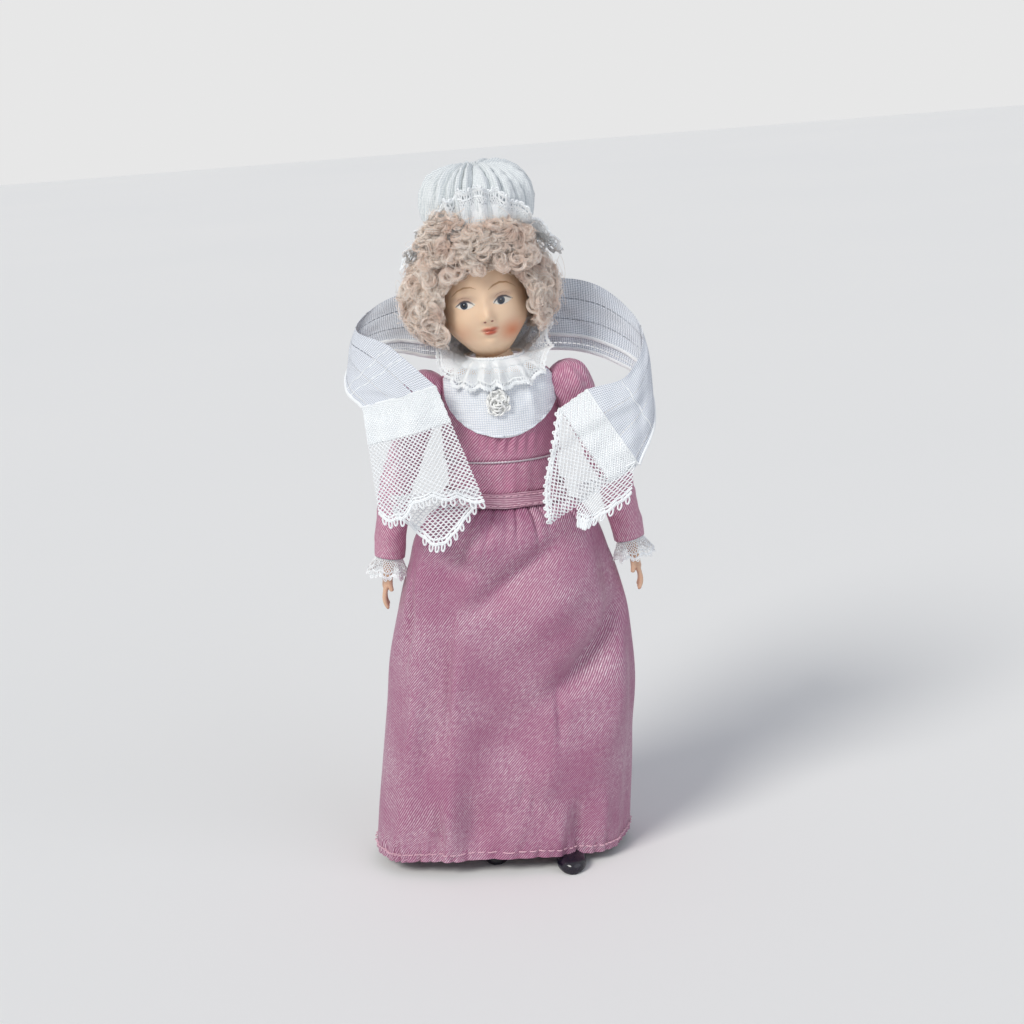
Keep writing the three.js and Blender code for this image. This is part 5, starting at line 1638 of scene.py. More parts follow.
    def skirt_point(self, turn: Array, drop: Array) -> Array:
        """Where the skirt hangs.

        Args:
            turn: angles round the doll, with 0 at her left.
            drop: shares from the waist to the hem.

        Returns:
            Places in the doll's frame.
        """
        wide, deep, shift = np.moveaxis(self.form.at(drop + 0 * turn), -1, 0)
        fall = self.waist - 0.15 - self.hem
        wave = 0.7 * np.cos(10 * turn + 0.9 * np.sin(3 * turn)) + 0.3 * np.cos(7 * turn)
        bulge = 0.02 * wave * ease(drop, 0.02, 0.25) * wide
        folds = sum(dent.at(turn, drop, wide, fall) for dent in self.dents)
        bulge = bulge + self.fold_depth * folds * ease(drop, 0.02, 0.14)
        flat = np.stack(np.broadcast_arrays(turn * 13 + drop * 35, turn * 3 - drop * 8), -1)
        bulge = bulge + 0.16 * swell(flat, 9, 61) * ease(drop, 0.1, 0.3)
        bulge = bulge + tucks(turn, drop * fall, 62, 8.5, (4, 17), 0.95) * ease(drop, 0.004, 0.035)
        bulge = bulge + tucks(turn, (1 - drop) * fall, 63, 6.5, (2.5, 9), 0.8)
        square = 1 - 0.24 * ease(drop, 0.1, 0.9)
        x, y = (np.sign(way) * np.abs(way) ** square for way in (np.cos(turn), np.sin(turn)))
        z = self.waist - 0.15 - fall * drop + 0.2 * drop * np.sin(turn * 3 + 1)
        z = z - drop * (1.5 * ease(x, 0.2, 1.0) + 0.7 * ease(-x, 0.4, 1.0) + 0.3 * np.maximum(0, -y))
        return xyz((wide + bulge) * x - shift, TRUNK.setback + (deep + bulge) * y, z)

    def skirt(self) -> None:
        """The skirt in an upper and a lower part of one cloth, and its sewn hem."""
        # Rows of points in the upper and the lower part, and where each would start and end to bend, which
        # nothing reads
        high, low = 76, 110
        high_start, high_end = (0, -0.009, 0.080), (0, -0.009, 0.054)
        low_start, low_end = (0, 0, 0.044), (0, 0, 0.030)
        parts = (("skirt_upper", slice(low - 1, None), "torso", "thigh_left", high_start, high_end),
                 ("skirt_lower", slice(0, low), "thigh_left", "shin_left", low_start, low_end))
        share = (self.waist - self.split) / (self.waist - self.hem)
        turn = np.linspace(math.pi / 2, math.pi * 2.5, 440, endpoint=False)[:, None]
        drop = np.concatenate([np.linspace(0, share, high), np.linspace(share, 1, low)[1:]])[None, :]
        # Rows run upwards, so that the normals point out
        points = self.skirt_point(turn, drop)[:, ::-1]
        normals = outward(points)
        step = np.linalg.norm(np.diff(points, axis=0, append=points[:1]), axis=-1)
        along = np.cumsum(step, 0) - step
        cloth = xyz(along - along[len(turn) // 2], points[..., 2], 0 * along)
        made = {}
        for name, rows, first, second, start, end in parts:
            shape = Shape.shell(points[:, rows], normals[:, rows], 0.3, cloth=cloth[:, rows])
            made[name] = piece(name, shape, SATIN, "satin", "skirt")
            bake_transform(made[name])
        # From ribbon to hem, in millimetres
        tall = 79
        a = np.arange(0, 2 * math.pi, self.stitch_step)[:, None] + ramp(0, self.stitch_step * 0.66, 5)
        row = self.skirt_point(a, np.full_like(a, 1 - self.stitches_up / tall))
        row += level_out(row) * np.array([0.1, 0.4, 0.45, 0.4, 0.1])[None, :, None]
        sewn = piece("hem_stitches", Shape.tubes(row, 0.14, 4), PINK_THREAD, "satin")
        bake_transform(sewn)
        edge = self.skirt_point(turn, ramp(1 - 0.1 / tall, 1 - self.turning_up / tall, 8))
        inside = edge - level_out(edge) * 0.4
        turned = Shape.grid(inside, cloth=xyz(turn * 20, ramp(0, self.turning_up, 8), 0 * turn))
        fold = thicken(piece("hem_turning", turned, SATIN, "satin"), 0.25)
        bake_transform(fold)

    def build(self) -> None:
        """Makes every part of the gown."""
        self.bodice()
        self.bib()
        self.skirt()


@dataclass
class NeckDress:
    """The lace ruff round the neck and the braid brooch under it."""

    inner: float = 5.7
    outer: float = 11.8
    base: float = 110.9
    rise: float = 5.0
    fall: float = 4.8
    setback: float = 1.5
    lace: LaceStrip = LaceStrip(150, even(7.4), 1.0, 0.85, 0.135, heading=2.8, open_row=1.2, scallops=34,
                                scallop_depth=0.3, picot=0.45, picot_every=1.3, motif=(3.0, 3.2))
    brooch: tuple[float, float, float] = (0.0, -8.1, 102.6)

    def ruffle(self, s: Array, t: Array) -> Array:
        """Where the ruff lies.

        Args:
            s: millimetres round the neck from the back.
            t: millimetres out from the neck.

        Returns:
            Places in the doll's frame.
        """
        turn = math.pi / 2 + 2 * math.pi * s / self.lace.length
        t = t / self.lace.depth.rows[0][1]
        front = np.maximum(0, -np.sin(turn))
        outer = self.outer - 1.9 * front**2
        lift = self.rise * (1 - front) ** 2.2 - self.fall * (1 - (1 - front) ** 2.2)
        phase = 17 * turn + 1.2 * np.sin(3 * turn) + 0.5 * np.sin(8 * turn)
        reach = self.inner + 0.9 * front**2 + (outer - self.inner) * t**0.8 + 0.62 * t**0.7 * np.sin(phase)
        up = self.base + lift * t**1.25 + 0.85 * t * np.cos(phase) * (1 - 0.5 * front)
        return xyz(reach * np.cos(turn), self.setback + reach * np.sin(turn), up)

    def cord(self) -> Shape:
        """The gathering cord at the neck, drawn tight.

        Returns:
            Its two plies.
        """
        turn = np.linspace(0, 2 * math.pi, 150, endpoint=False)
        plies = []
        for start in (0, math.pi):
            twist = turn * 31 + start
            r = self.inner + 0.3 + 0.9 * np.maximum(0, -np.sin(turn)) ** 2 + 0.2 * np.cos(twist)
            up = self.base + 0.2 + 0.2 * np.sin(twist)
            plies.append(xyz(r * np.cos(turn), self.setback + r * np.sin(turn), up))
        return Shape.tubes(np.stack(plies), 0.26, 5, True)

    def loops(self) -> Shape:
        """The brooch, in three rings on a small pad.

        Returns:
            Its loops of braid.
        """
        random = np.random.default_rng(4)
        centre = np.array(self.brooch)
        paths = []
        for ring, count, size in ((2.15, 15, 0.62), (1.3, 10, 0.66), (0.45, 5, 0.6)):
            for k in range(count):
                a = 2 * math.pi * k / count + random.uniform(-0.2, 0.2)
                seat = centre + [ring * math.cos(a), -0.5 - 0.42 * (2.4 - ring), ring * 1.06 * math.sin(a)]
                way = np.array([math.cos(a), random.uniform(-0.5, 0.5), math.sin(a)])
                axis = unit(way + 0.4 * random.normal(size=3))
                first = unit(np.cross(axis, [0, 1, 0]))
                second = np.cross(axis, first)
                t = rounds(14)
                paths.append(seat + size * (np.cos(t) * first + 1.15 * np.sin(t) * second))
        return Shape.tubes(np.stack(paths), 0.22, 6, True)

    def pad(self) -> Shape:
        """The knotted pad under the loops.

        Returns:
            Its dome.
        """
        turn = rounds(48)
        v = ramp(0.02, 1, 14)
        r = 2.4 * np.sin(v * math.pi * 0.5) * (1 + 0.05 * np.sin(9 * turn))
        points = xyz(r * np.cos(turn), -0.95 * np.cos(v * math.pi * 0.5), 1.06 * r * np.sin(turn))
        return Shape.grid(points + np.array(self.brooch), around=True)

    def build(self, gown: Gown) -> None:
        """Makes the ruff and the brooch.

        Args:
            gown: whose chemisette the trims are sewn to; not used.
        """
        ruff = piece("neck_ruff_lace", self.lace.lay(self.ruffle), LACE, "lace", "neck_ruff")
        cord = piece("neck_ruff_cord", self.cord(), LACE, "lace")
        brooch = piece("brooch_loops", self.loops(), BRAID, "braid", "brooch")
        pad = piece("brooch_pad", self.pad(), BRAID, "braid")
        for made in (ruff, cord, brooch, pad):
            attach(made, "torso")


@dataclass
class Arm:
    """A satin sleeve over a wrapped wire arm, with a lace cuff and a bisque hand."""

    side: Side
    shoulder: tuple[float, float, float] = (15.0, 1.0, 104.5)
    upper: float = 22.0
    upper_lean: float = 22.0
    lower: float = 17.0
    lower_lean: float = 10.0
    palm: float = 5.2
    finger: float = 5.2
    # The sleeve starts above the shoulder and ends below the elbow
    sleeve_above: float = 4.3
    sleeve_below: float = 15.1
    # Radius of the sleeve at millimetres down from the shoulder
    sleeve_form: Rows = Rows((
        (-4.3, 0.3), (-4.0, 1.6), (-3.2, 3.0), (-2, 4.0), (0, 4.5), (3, 4.4), (7, 3.95), (13, 3.65),
        (20, 3.6), (24, 3.55), (30, 3.35), (34, 3.15), (37.1, 3.1),
    ))
    # Half thickness and half width of the forearm and palm at millimetres down from the elbow
    hand_form: Rows = Rows((
        (1.4, 2.2, 2.2), (9, 2.05, 2.05), (14, 1.62, 1.65), (16.6, 1.32, 1.6), (18.6, 1.12, 1.95),
        (20.8, 1.02, 2.2), (22.2, 0.8, 2.05), (22.6, 0.3, 1.3),
    ))
    cuff: LaceStrip = LaceStrip(34, even(4.0), 0.85, 0.75, 0.1, heading=0.8, open_row=1.0, scallops=9,
                                scallop_depth=0.25, picot=0.5, picot_every=1.3)

    def __post_init__(self) -> None:
        """Works out the frames of the upper arm and the forearm."""
        lean = math.radians(self.upper_lean)
        x, y, z = self.shoulder
        self.top = Hang(self.shoulder, self.upper_lean, self.side)
        elbow = (x + math.sin(lean) * self.upper, y, z - math.cos(lean) * self.upper)
        self.elbow = Hang(elbow, self.lower_lean, self.side)

    def sleeve(self) -> bpy.types.Object:
        """Makes the sleeve, gathered into the armhole and creased at the elbow.

        Returns:
            The sleeve.
        """
        turn = np.linspace(math.pi / 2, math.pi * 2.5, 97)[:, None]
        whole = self.upper + self.sleeve_below + self.sleeve_above
        place = -self.sleeve_above + whole * ramp(0, 1, 130) + 0 * turn
        radius = self.sleeve_form.at(place)[..., 0]
        puff = 0.2 * np.cos(turn * 11 + 0.6 * np.sin(3 * turn)) * ease(8 - place, 0, 8) * ease(place, -4, -2)
        crease = -0.34 * np.exp(-(((place - 22.3 - 0.8 * np.sin(turn)) / 0.7) ** 2))
        crease = crease * ease(-np.sin(turn), -0.4, 0.8)
        crease = crease - 0.22 * np.exp(-(((place - 20.2 + 0.9 * np.cos(turn)) / 0.6) ** 2))
        crease = crease - 0.22 * np.exp(-(((place - 24.8 - 1.2 * np.cos(turn)) / 0.7) ** 2))
        ring = circle(radius, turn, -place)
        soft = 0.17 * swell(ring, 5.5, 71 + self.side.value) + 0.07 * swell(ring, 2.2, 73)
        radius = radius + (puff + crease + soft) * ease(place, -4.2, -2)
        bend = ease(place, self.upper - 3, self.upper + 3)
        above = self.top.place(circle(radius, turn, -place))
        below = self.elbow.place(circle(radius, turn, self.upper - place))
        points = above * (1 - bend[..., None]) + below * bend[..., None]
        cloth = xyz(turn * 3.7, -place, 0 * place)
        word = self.side.word
        shape = Shape.grid(points, cloth=cloth)
        # The sleeve takes the satin painted lighter for the light on it
        made = piece(f"sleeve_{word}", shape, LIT_SATIN, "satin", f"sleeve_upper_{word}", f"sleeve_lower_{word}")
        thicken(made, 0.28)
        start = self.top.place(np.array([0, 0, -self.upper + 4.0]))
        finish = self.elbow.place(np.array([0, 0, -4.0]))
        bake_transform(made)
        return made

    def cuff_place(self, s: Array, t: Array) -> Array:
        """Where the cuff's lace lies.

        Args:
            s: millimetres round the wrist.
            t: millimetres down from the sleeve.

        Returns:
            Places in the doll's frame.
        """
        turn = math.pi / 2 + 2 * math.pi * s / self.cuff.length
        t = t / self.cuff.depth.rows[0][1]
        radius = 2.45 + 1.8 * t + 0.3 * t * np.sin(8 * turn)
        return self.elbow.place(circle(radius, turn, -14.6 - 4.0 * t - 0.3 * t * np.cos(8 * turn)))

    def hand(self) -> Shape:
        """The forearm and hand in the elbow's frame, before they are cast in one.

        Returns:
            The palm, four fingers together and a thumb.
        """
        turn = rounds(28)
        down = 1.4 + (self.lower + self.palm + 0.4 - 1.4) * ramp(0, 1, 40)
        size = self.hand_form.at(down)
        body = xyz(size[..., 0] * np.cos(turn), size[..., 1] * np.sin(turn), -down)
        shapes = [Shape.grid(body[::-1], around=True).capped(28, 40)]
        knuckle = self.lower + self.palm - 0.4
        for k in range(4):
            y = (k - 1.5) * 1.06
            long = self.finger * (1 - 0.07 * abs(k - 1.3))
            path = np.array([[0.05, y, 1.2], [0.25, y, -0.4 * long], [-0.1, y * 0.96, -0.75 * long],
                             [-0.85, y * 0.9, -long]])
            shapes.append(self.digit(path - [0, 0, knuckle], 0.6, 0.42))
        thumb = np.array([[-0.1, -1.0, -0.8], [-0.5, -2.3, -2.4], [-0.8, -2.8, -4.0], [-1.3, -2.9, -5.2]])
        shapes.append(self.digit(thumb - [0, 0, self.lower], 0.72, 0.5))
        return Shape.join(shapes)

    def digit(self, path: Array, root: float, tip: float) -> Shape:
        """One finger with a rounded end.

        Args:
            path: four places from root to tip.
            root: its radius at the root.
            tip: its radius at the tip.

        Returns:
            The closed finger.
        """
        table = Rows(tuple((k / 3, *p) for k, p in enumerate(path)))
        s = np.concatenate([np.linspace(0, 0.9, 10), [0.94, 0.975, 1.0]])
        radius = root + (tip - root) * s
        radius[-3:] *= [0.9, 0.68, 0.25]
        tube = Shape.tubes(table.at(s)[None], radius[None], 10)
        order = tube.points.reshape(13, 10, 3).transpose(1, 0, 2)
        return Shape.grid(order, around=True).capped(10, 13)

    def build(self) -> None:
        """Makes the sleeve, the cuff, the hand and the wrapped arm inside."""
        word = self.side.word
        sleeve = self.sleeve()
        cast = fused("hand_cast", self.hand(), 0.17, 4)
        above_tips = cast.points[:, 2] + self.lower + self.palm + self.finger - 0.6
        cast.fields["nails"] = np.hypot(cast.points[:, 0] + 0.5, above_tips) - 0.5
        cast.points = self.elbow.place(cast.points)
        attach(piece(f"hand_{word}", cast, HAND, "bisque_plain", f"forearm_{word}"), f"forearm_{word}")
        cuff = piece(f"cuff_{word}", self.cuff.lay(self.cuff_place), LACE, "lace", f"cuff_lace_{word}")
        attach(cuff, f"forearm_{word}")
        self.wrapping()

    def wrapping(self) -> None:
        """The wire of the upper arm, wound with calico tape."""
        turn = rounds(24)
        down = ramp(-1.9, self.upper - 3.4, 60)
        wound = 2.1 + 0.08 * np.abs(np.sin(down * 1.3 + turn / 2))
        radius = wound * np.sqrt(np.clip(1 - (np.minimum(down, 0) / 2.1) ** 2, 0.02, 1))
        points = self.top.place(circle(radius, turn, -down))
        cloth = xyz(turn * 2.1, down, 0 * down)
        word = self.side.word
        shape = Shape.grid(points, around=True, cloth=cloth).capped(24, 60)
        made = piece(f"arm_wrapping_{word}", shape, CALICO, "calico", f"arm_core_upper_{word}")
        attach(made, f"upper_arm_{word}")


@dataclass
class Leg:
    """A stuffed calico thigh over a bisque lower leg with a moulded, enamelled shoe."""

    side: Side
    hip: tuple[float, float, float] = (6.4, 0.0, 64.0)
    knee_height: float = 37.0
    foot_x: float = 7.8
    shoe_length: float = 17.0
    thigh_bottom: float = 38.2
    thigh_top: float = 69.2
    # Half width and half depth of the shin, and radius of the thigh, at a height
    shin_form: Rows = Rows((
        (2.6, 2.3, 2.3), (6, 2.3, 2.35), (12, 2.62, 2.8), (20, 3.4, 3.5), (27, 3.55, 3.6), (33, 3.45, 3.5),
        (37, 3.88, 3.88), (39, 3.4, 3.4), (40.3, 2.1, 2.1), (40.85, 0.5, 0.5),
    ))
    thigh_form: Rows = Rows((
        (38.2, 3.4), (39, 4.3), (42, 4.5), (50, 4.95), (58, 5.25), (64, 5.35), (67, 4.5), (68.6, 2.9),
        (69.2, 1.0),
    ))
    # Half width and height of the shoe at a share of its length from the heel
    shoe_form: Rows = Rows((
        (0, 1.0, 3.6), (0.03, 1.9, 4.8), (0.1, 2.5, 5.4), (0.22, 2.8, 5.6), (0.42, 2.85, 4.6),
        (0.7, 3.4, 3.4), (0.88, 3.0, 3.0), (0.96, 2.0, 2.5), (1, 0.8, 1.9),
    ))
    # Height of the shoe's painted edge at millimetres from the heel, and where its opening ends
    opening: Rows = Rows(((0, 4.4), (3, 4.2), (6, 3.4), (9, 2.6), (17, 2.2)))
    opening_end: float = 8.4

    def __post_init__(self) -> None:
        """Works out where the knee and the ankle are; the left foot is forward."""
        self.foot_y = -4.0 * self.side.value
        self.knee = (7.2, self.foot_y * 27 / 64, self.knee_height)

    def mirrored(self, points: Array) -> Array:
        """Left-side points taken to the leg's own side."""
        return points * np.array([self.side.value, 1, 1])

    def shin(self) -> Shape:
        """The lower leg from ankle to a domed knee.

        Returns:
            Its skin, as on the left side.
        """
        turn = rounds(40)
        z = ramp(2.6, 40.85, 64)
        size = self.shin_form.at(z)
        share = np.clip((z - 5.4) / (self.knee_height - 5.4), 0, 1)
        x = self.foot_x + (self.knee[0] - self.foot_x) * share
        y = self.foot_y + (self.knee[1] - self.foot_y) * share + 0.5 * np.exp(-(((z - 24) / 7) ** 2))
        points = xyz(x + size[..., 0] * np.cos(turn), y + size[..., 1] * np.sin(turn), z)
        return Shape.grid(points, around=True).capped(40, 64)

    def shoe(self) -> Shape:
        """The shoe from heel to rounded toe, with a flat sole and a low heel.

        Returns:
            Its skin, as on the left side.
        """
        share = ramp(0, 1, 46)
        turn = rounds(44)
        size = self.shoe_form.at(share)
        half, high = size[..., 0], size[..., 1]
        y = self.foot_y + self.shoe_length * (0.24 - share) + 0 * turn
        arch = 0.9 * ease(share, 0.2, 0.26) * ease(0.52 - share, 0, 0.07)
        z = np.maximum(high * (0.4 + 0.6 * np.sin(turn)), arch)
        x = self.foot_x + 0.34 * share + half * np.cos(turn) * (0.94 + 0.06 * np.sin(turn))
        return Shape.grid(xyz(x, y, z)[::-1], around=True).capped(44, 46)

    def calf(self) -> None:
        """Casts the leg and shoe in one and paints the shoe."""
        cast = fused("leg_cast", Shape.join([self.shin(), self.shoe()]), 0.3, 3)
        p = cast.points
        ahead = self.foot_y + 0.24 * self.shoe_length - p[:, 1]
        over = p[:, 2] - self.opening.at(ahead)[:, 0]
        toe = ahead > self.opening_end
        cast.fields["shoe"] = np.where(toe, -2.0, over)
        cast.fields["shoe_trim"] = np.where(toe, 9.0, np.abs(over + 0.25) - 0.12)
        cast.points = self.mirrored(p)
        word = self.side.word
        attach(piece(f"leg_{word}", cast, FOOT, "bisque_leg", f"lower_leg_{word}"), f"shin_{word}")

    def thigh(self) -> None:
        """The stuffed thigh, with a seam down its back, hollowed for the knee."""
        turn = rounds(48)
        z = self.thigh_bottom + (self.thigh_top - self.thigh_bottom) * ramp(0, 1, 50)
        size = self.thigh_form.at(z)[..., 0]
        share = np.clip((self.hip[2] - z) / 27, 0, 1)
        x = self.hip[0] + (self.knee[0] - self.hip[0]) * share
        y = self.hip[1] + (self.knee[1] - self.hip[1]) * share
        seam = -0.3 * np.exp(-(((turn - math.pi / 2) / 0.09) ** 2))
        radius = size + seam + 0.12 * swell(xyz(np.cos(turn) * 5, np.sin(turn) * 5, z), 6, 81)
        hollow = 2.2 * ease(40.5 - z, 0, 2.3) * ease(np.sin(turn), -0.2, 0.6)
        points = xyz(x + radius * np.cos(turn), y + radius * np.sin(turn) - hollow, z)
        word = self.side.word
        shape = Shape.grid(self.mirrored(points), around=True, cloth=xyz(turn * 5, z, 0 * z)).capped(48, 50)
        made = piece(f"thigh_calico_{word}", shape, CALICO, "calico", f"thigh_{word}")
        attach(made, f"thigh_{word}")

    def build(self) -> None:
        """Makes the calf with its shoe, and the thigh."""
        self.calf()
        self.thigh()


def torso() -> None:
    """The stuffed calico trunk, seamed down its sides, under the shoulder plate."""
    turn = rounds(96)
    z = ramp(62.3, 98.6, 80)
    seam = -0.35 * np.exp(-((np.sin(turn) / 0.06) ** 2))
    close = ease(z, 62.3, 64.5)
    grow = seam + 0.15 * swell(xyz(np.cos(turn) * 11, np.sin(turn) * 8, z), 7, 91) - 0.25
    points = TRUNK.ring(turn, z, grow)
    points[..., :2] *= (0.6 + 0.4 * close)[..., None]
    # Hollowed in front over each hip, for the thigh's top
    hip_x, hip_z, room = 6.4, 64.0, 5.7
    for sign in (1, -1):
        off = np.hypot(points[..., 1], points[..., 2] - hip_z)
        under = (np.abs(points[..., 0] - sign * hip_x) < 6.6) & (points[..., 1] < 0) & (off < room)
        raised = hip_z + np.sqrt(np.maximum(room**2 - points[..., 1] ** 2, 0))
        points[..., 2] = np.where(under, raised, points[..., 2])
    shape = Shape.grid(points, around=True, cloth=xyz(turn * 11, z, 0 * z)).capped(96, 80)
    made = piece("torso_calico", shape, CALICO, "calico", "torso_stuffing")
    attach(made, "torso")


@dataclass(frozen=True)
class StoleHalf:
    """One half of the stole: its edges from the middle of the back to the lace, and how its lace end lies."""

    side: Side
    inner: Rows
    outer: Rows
    cut: tuple[float, float, float]
    lace: LaceStrip
    corner: LaceStrip
    net: Rows
    hang: Rows
    # Shares along the cotton where a thick weft thread crosses it
    pulled: tuple[float, ...]

    def point(self, along: Array, across: Array) -> Array:
        """Where the cotton lies.

        Args:
            along: shares of its length, from the back.
            across: shares of its width, from the inner edge.

        Returns:
            Places in the doll's frame.
        """
        inner, outer = self.inner.at(along), self.outer.at(along)
        points = inner + (outer - inner) * across[..., None]
        pinch = np.sin(np.clip(across, 0, 1) * math.pi)
        drape = 0.32 * np.sin(across * math.pi * 4 + self.side.value) * ease(along, 0.1, 0.7)
        drape = drape + 0.2 * swell(np.stack([across * 22, along * 60], -1), 6, 101 + self.side.value)
        points[..., 1] += drape - 1.3 * pinch * ease(along, 0.55, 0.85)
        points[..., 0] += 0.9 * self.side.value * pinch * ease(along, 0.3, 0.5) * ease(1 - along, 0.1, 0.4)
        return points

    def net_point(self, s: Array, t: Array) -> Array:
        """Where the lace end lies.

        Args:
            s: flat millimetres from the inner edge.
            t: flat millimetres down from the cotton.

        Returns:
            Places in the doll's frame.
        """
        share = s / self.lace.length
        seam = self.point(np.ones_like(share), share)
        run = self.net.at(share)
        way, reach = run[..., :3], run[..., 3]
        points = seam + way * (t * reach)[..., None]
        ripple = 0.35 * np.sin(share * math.pi * 5 + 1 + self.side.value) * ease(t, 0, 6)
        points[..., 1] += ripple + 0.15 * swell(np.stack([s, t], -1), 5, 111)
        return points

    def corner_point(self, s: Array, t: Array) -> Array:
        """Where the corner that hangs below from behind lies.

        Args:
            s: flat millimetres along its top.
            t: flat millimetres down from its top.

        Returns:
            Places in the doll's frame.
        """
        row = self.hang.at(s / self.corner.length)
        start, way = row[..., :3], row[..., 3:]
        points = start + way * t[..., None]
        points[..., 1] += 0.2 * np.sin(s * 1.1) * ease(t, 0, 4)
        return points


LEFT_HALF = StoleHalf(
    Side.LEFT,
    inner=Rows(((0, 0, 16.8, 124.6), (0.2, 11.5, 16.4, 124.4), (0.4, 23.5, 12.6, 122.0),
                (0.6, 31.4, 4.0, 113.5), (0.8, 27.3, -4.8, 105.6), (1, 18.6, -7.2, 103.6))),
    outer=Rows(((0, 0, 10.6, 109.5), (0.2, 12.3, 9.4, 110), (0.4, 22, 6.4, 108.4), (0.6, 31.0, 1, 103),
                (0.8, 32.2, -5.5, 95.5), (1, 28.2, -9.6, 87.4))),
    cut=(0.0205, 0.0575, 0.00106),
    lace=LaceStrip(18.2, Rows(((0, 7.2), (0.3, 12.6), (0.6, 18.2), (0.8, 20.6), (1, 22.2))), 1.05, 0.98,
                   0.135, heading=7.0, open_row=0.9, scallops=13, scallop_depth=0.3, picot=0.55,
                   picot_every=1.3, sides=4, motif=(5.2, 6.4)),
    corner=LaceStrip(13.5, Rows(((0, 6.6), (0.45, 9.2), (1, 6.6))), 1.2, 1.15, 0.14, open_row=1.1, scallops=5,
                     scallop_depth=0.4, picot=1.7, picot_every=1.35, sides=4),
    net=Rows(((0, -0.85, -0.26, -0.46, 1), (1, -0.87, -0.2, -0.45, 1))),
    hang=Rows(((0, 15.0, -11.6, 84.5, -0.1, -0.28, -0.96), (0.5, 21.0, -11.0, 86.0, -0.34, -0.26, -0.9),
               (1, 27.4, -9.8, 88.2, -0.2, -0.24, -0.95))),
    pulled=(0.33, 0.38, 0.84),
)
RIGHT_HALF = StoleHalf(
    Side.RIGHT,
    inner=Rows(((0, 0, 16.8, 124.6), (0.2, -11.5, 16.4, 124.4), (0.4, -22.5, 12.5, 122.5),
                (0.6, -28.6, 4.5, 118.2), (0.8, -21.5, -2.6, 115.0), (1, -12.5, -9.2, 107.2))),
    outer=Rows(((0, 0, 10.6, 109.5), (0.2, -12.3, 9, 110.1), (0.4, -21.5, 6, 112.6), (0.6, -29.8, 2, 111.2),
                (0.8, -31.2, -3.5, 107), (1, -28.0, -6.8, 103.6))),
    cut=(0.0175, 0.0560, 0.00086),
    lace=LaceStrip(20.6, Rows(((0, 25.6), (0.25, 22.6), (0.5, 21.0), (0.8, 24.0), (1, 22.4))), 1.05, 0.98,
                   0.135, heading=8.0, open_row=0.9, scallops=5, scallop_depth=0.9, picot=1.5,
                   picot_every=1.45, sides=4, motif=(6.8, 8.0)),
    corner=LaceStrip(17.5, Rows(((0, 3.0), (0.5, 10.6), (1, 3.0))), 1.15, 1.1, 0.14, open_row=1.1, scallops=6,
                     scallop_depth=0.4, picot=1.6, picot_every=1.4, picots_to=0.72, sides=4),
    net=Rows(((0, 0.32, -0.22, -0.92, 1), (0.35, 0.2, -0.26, -0.94, 1), (0.7, 0.11, -0.3, -0.95, 1),
              (1, 0.08, -0.32, -0.94, 1))),
    hang=Rows(((0, -5.4, -13.0, 86.0, -0.12, -0.2, -0.97), (0.5, -14.0, -12.2, 85.4, -0.04, -0.22, -0.97),
               (1, -23.6, -11.0, 85.0, 0.1, -0.2, -0.97))),
    pulled=(0.42, 0.8, 0.86),
)


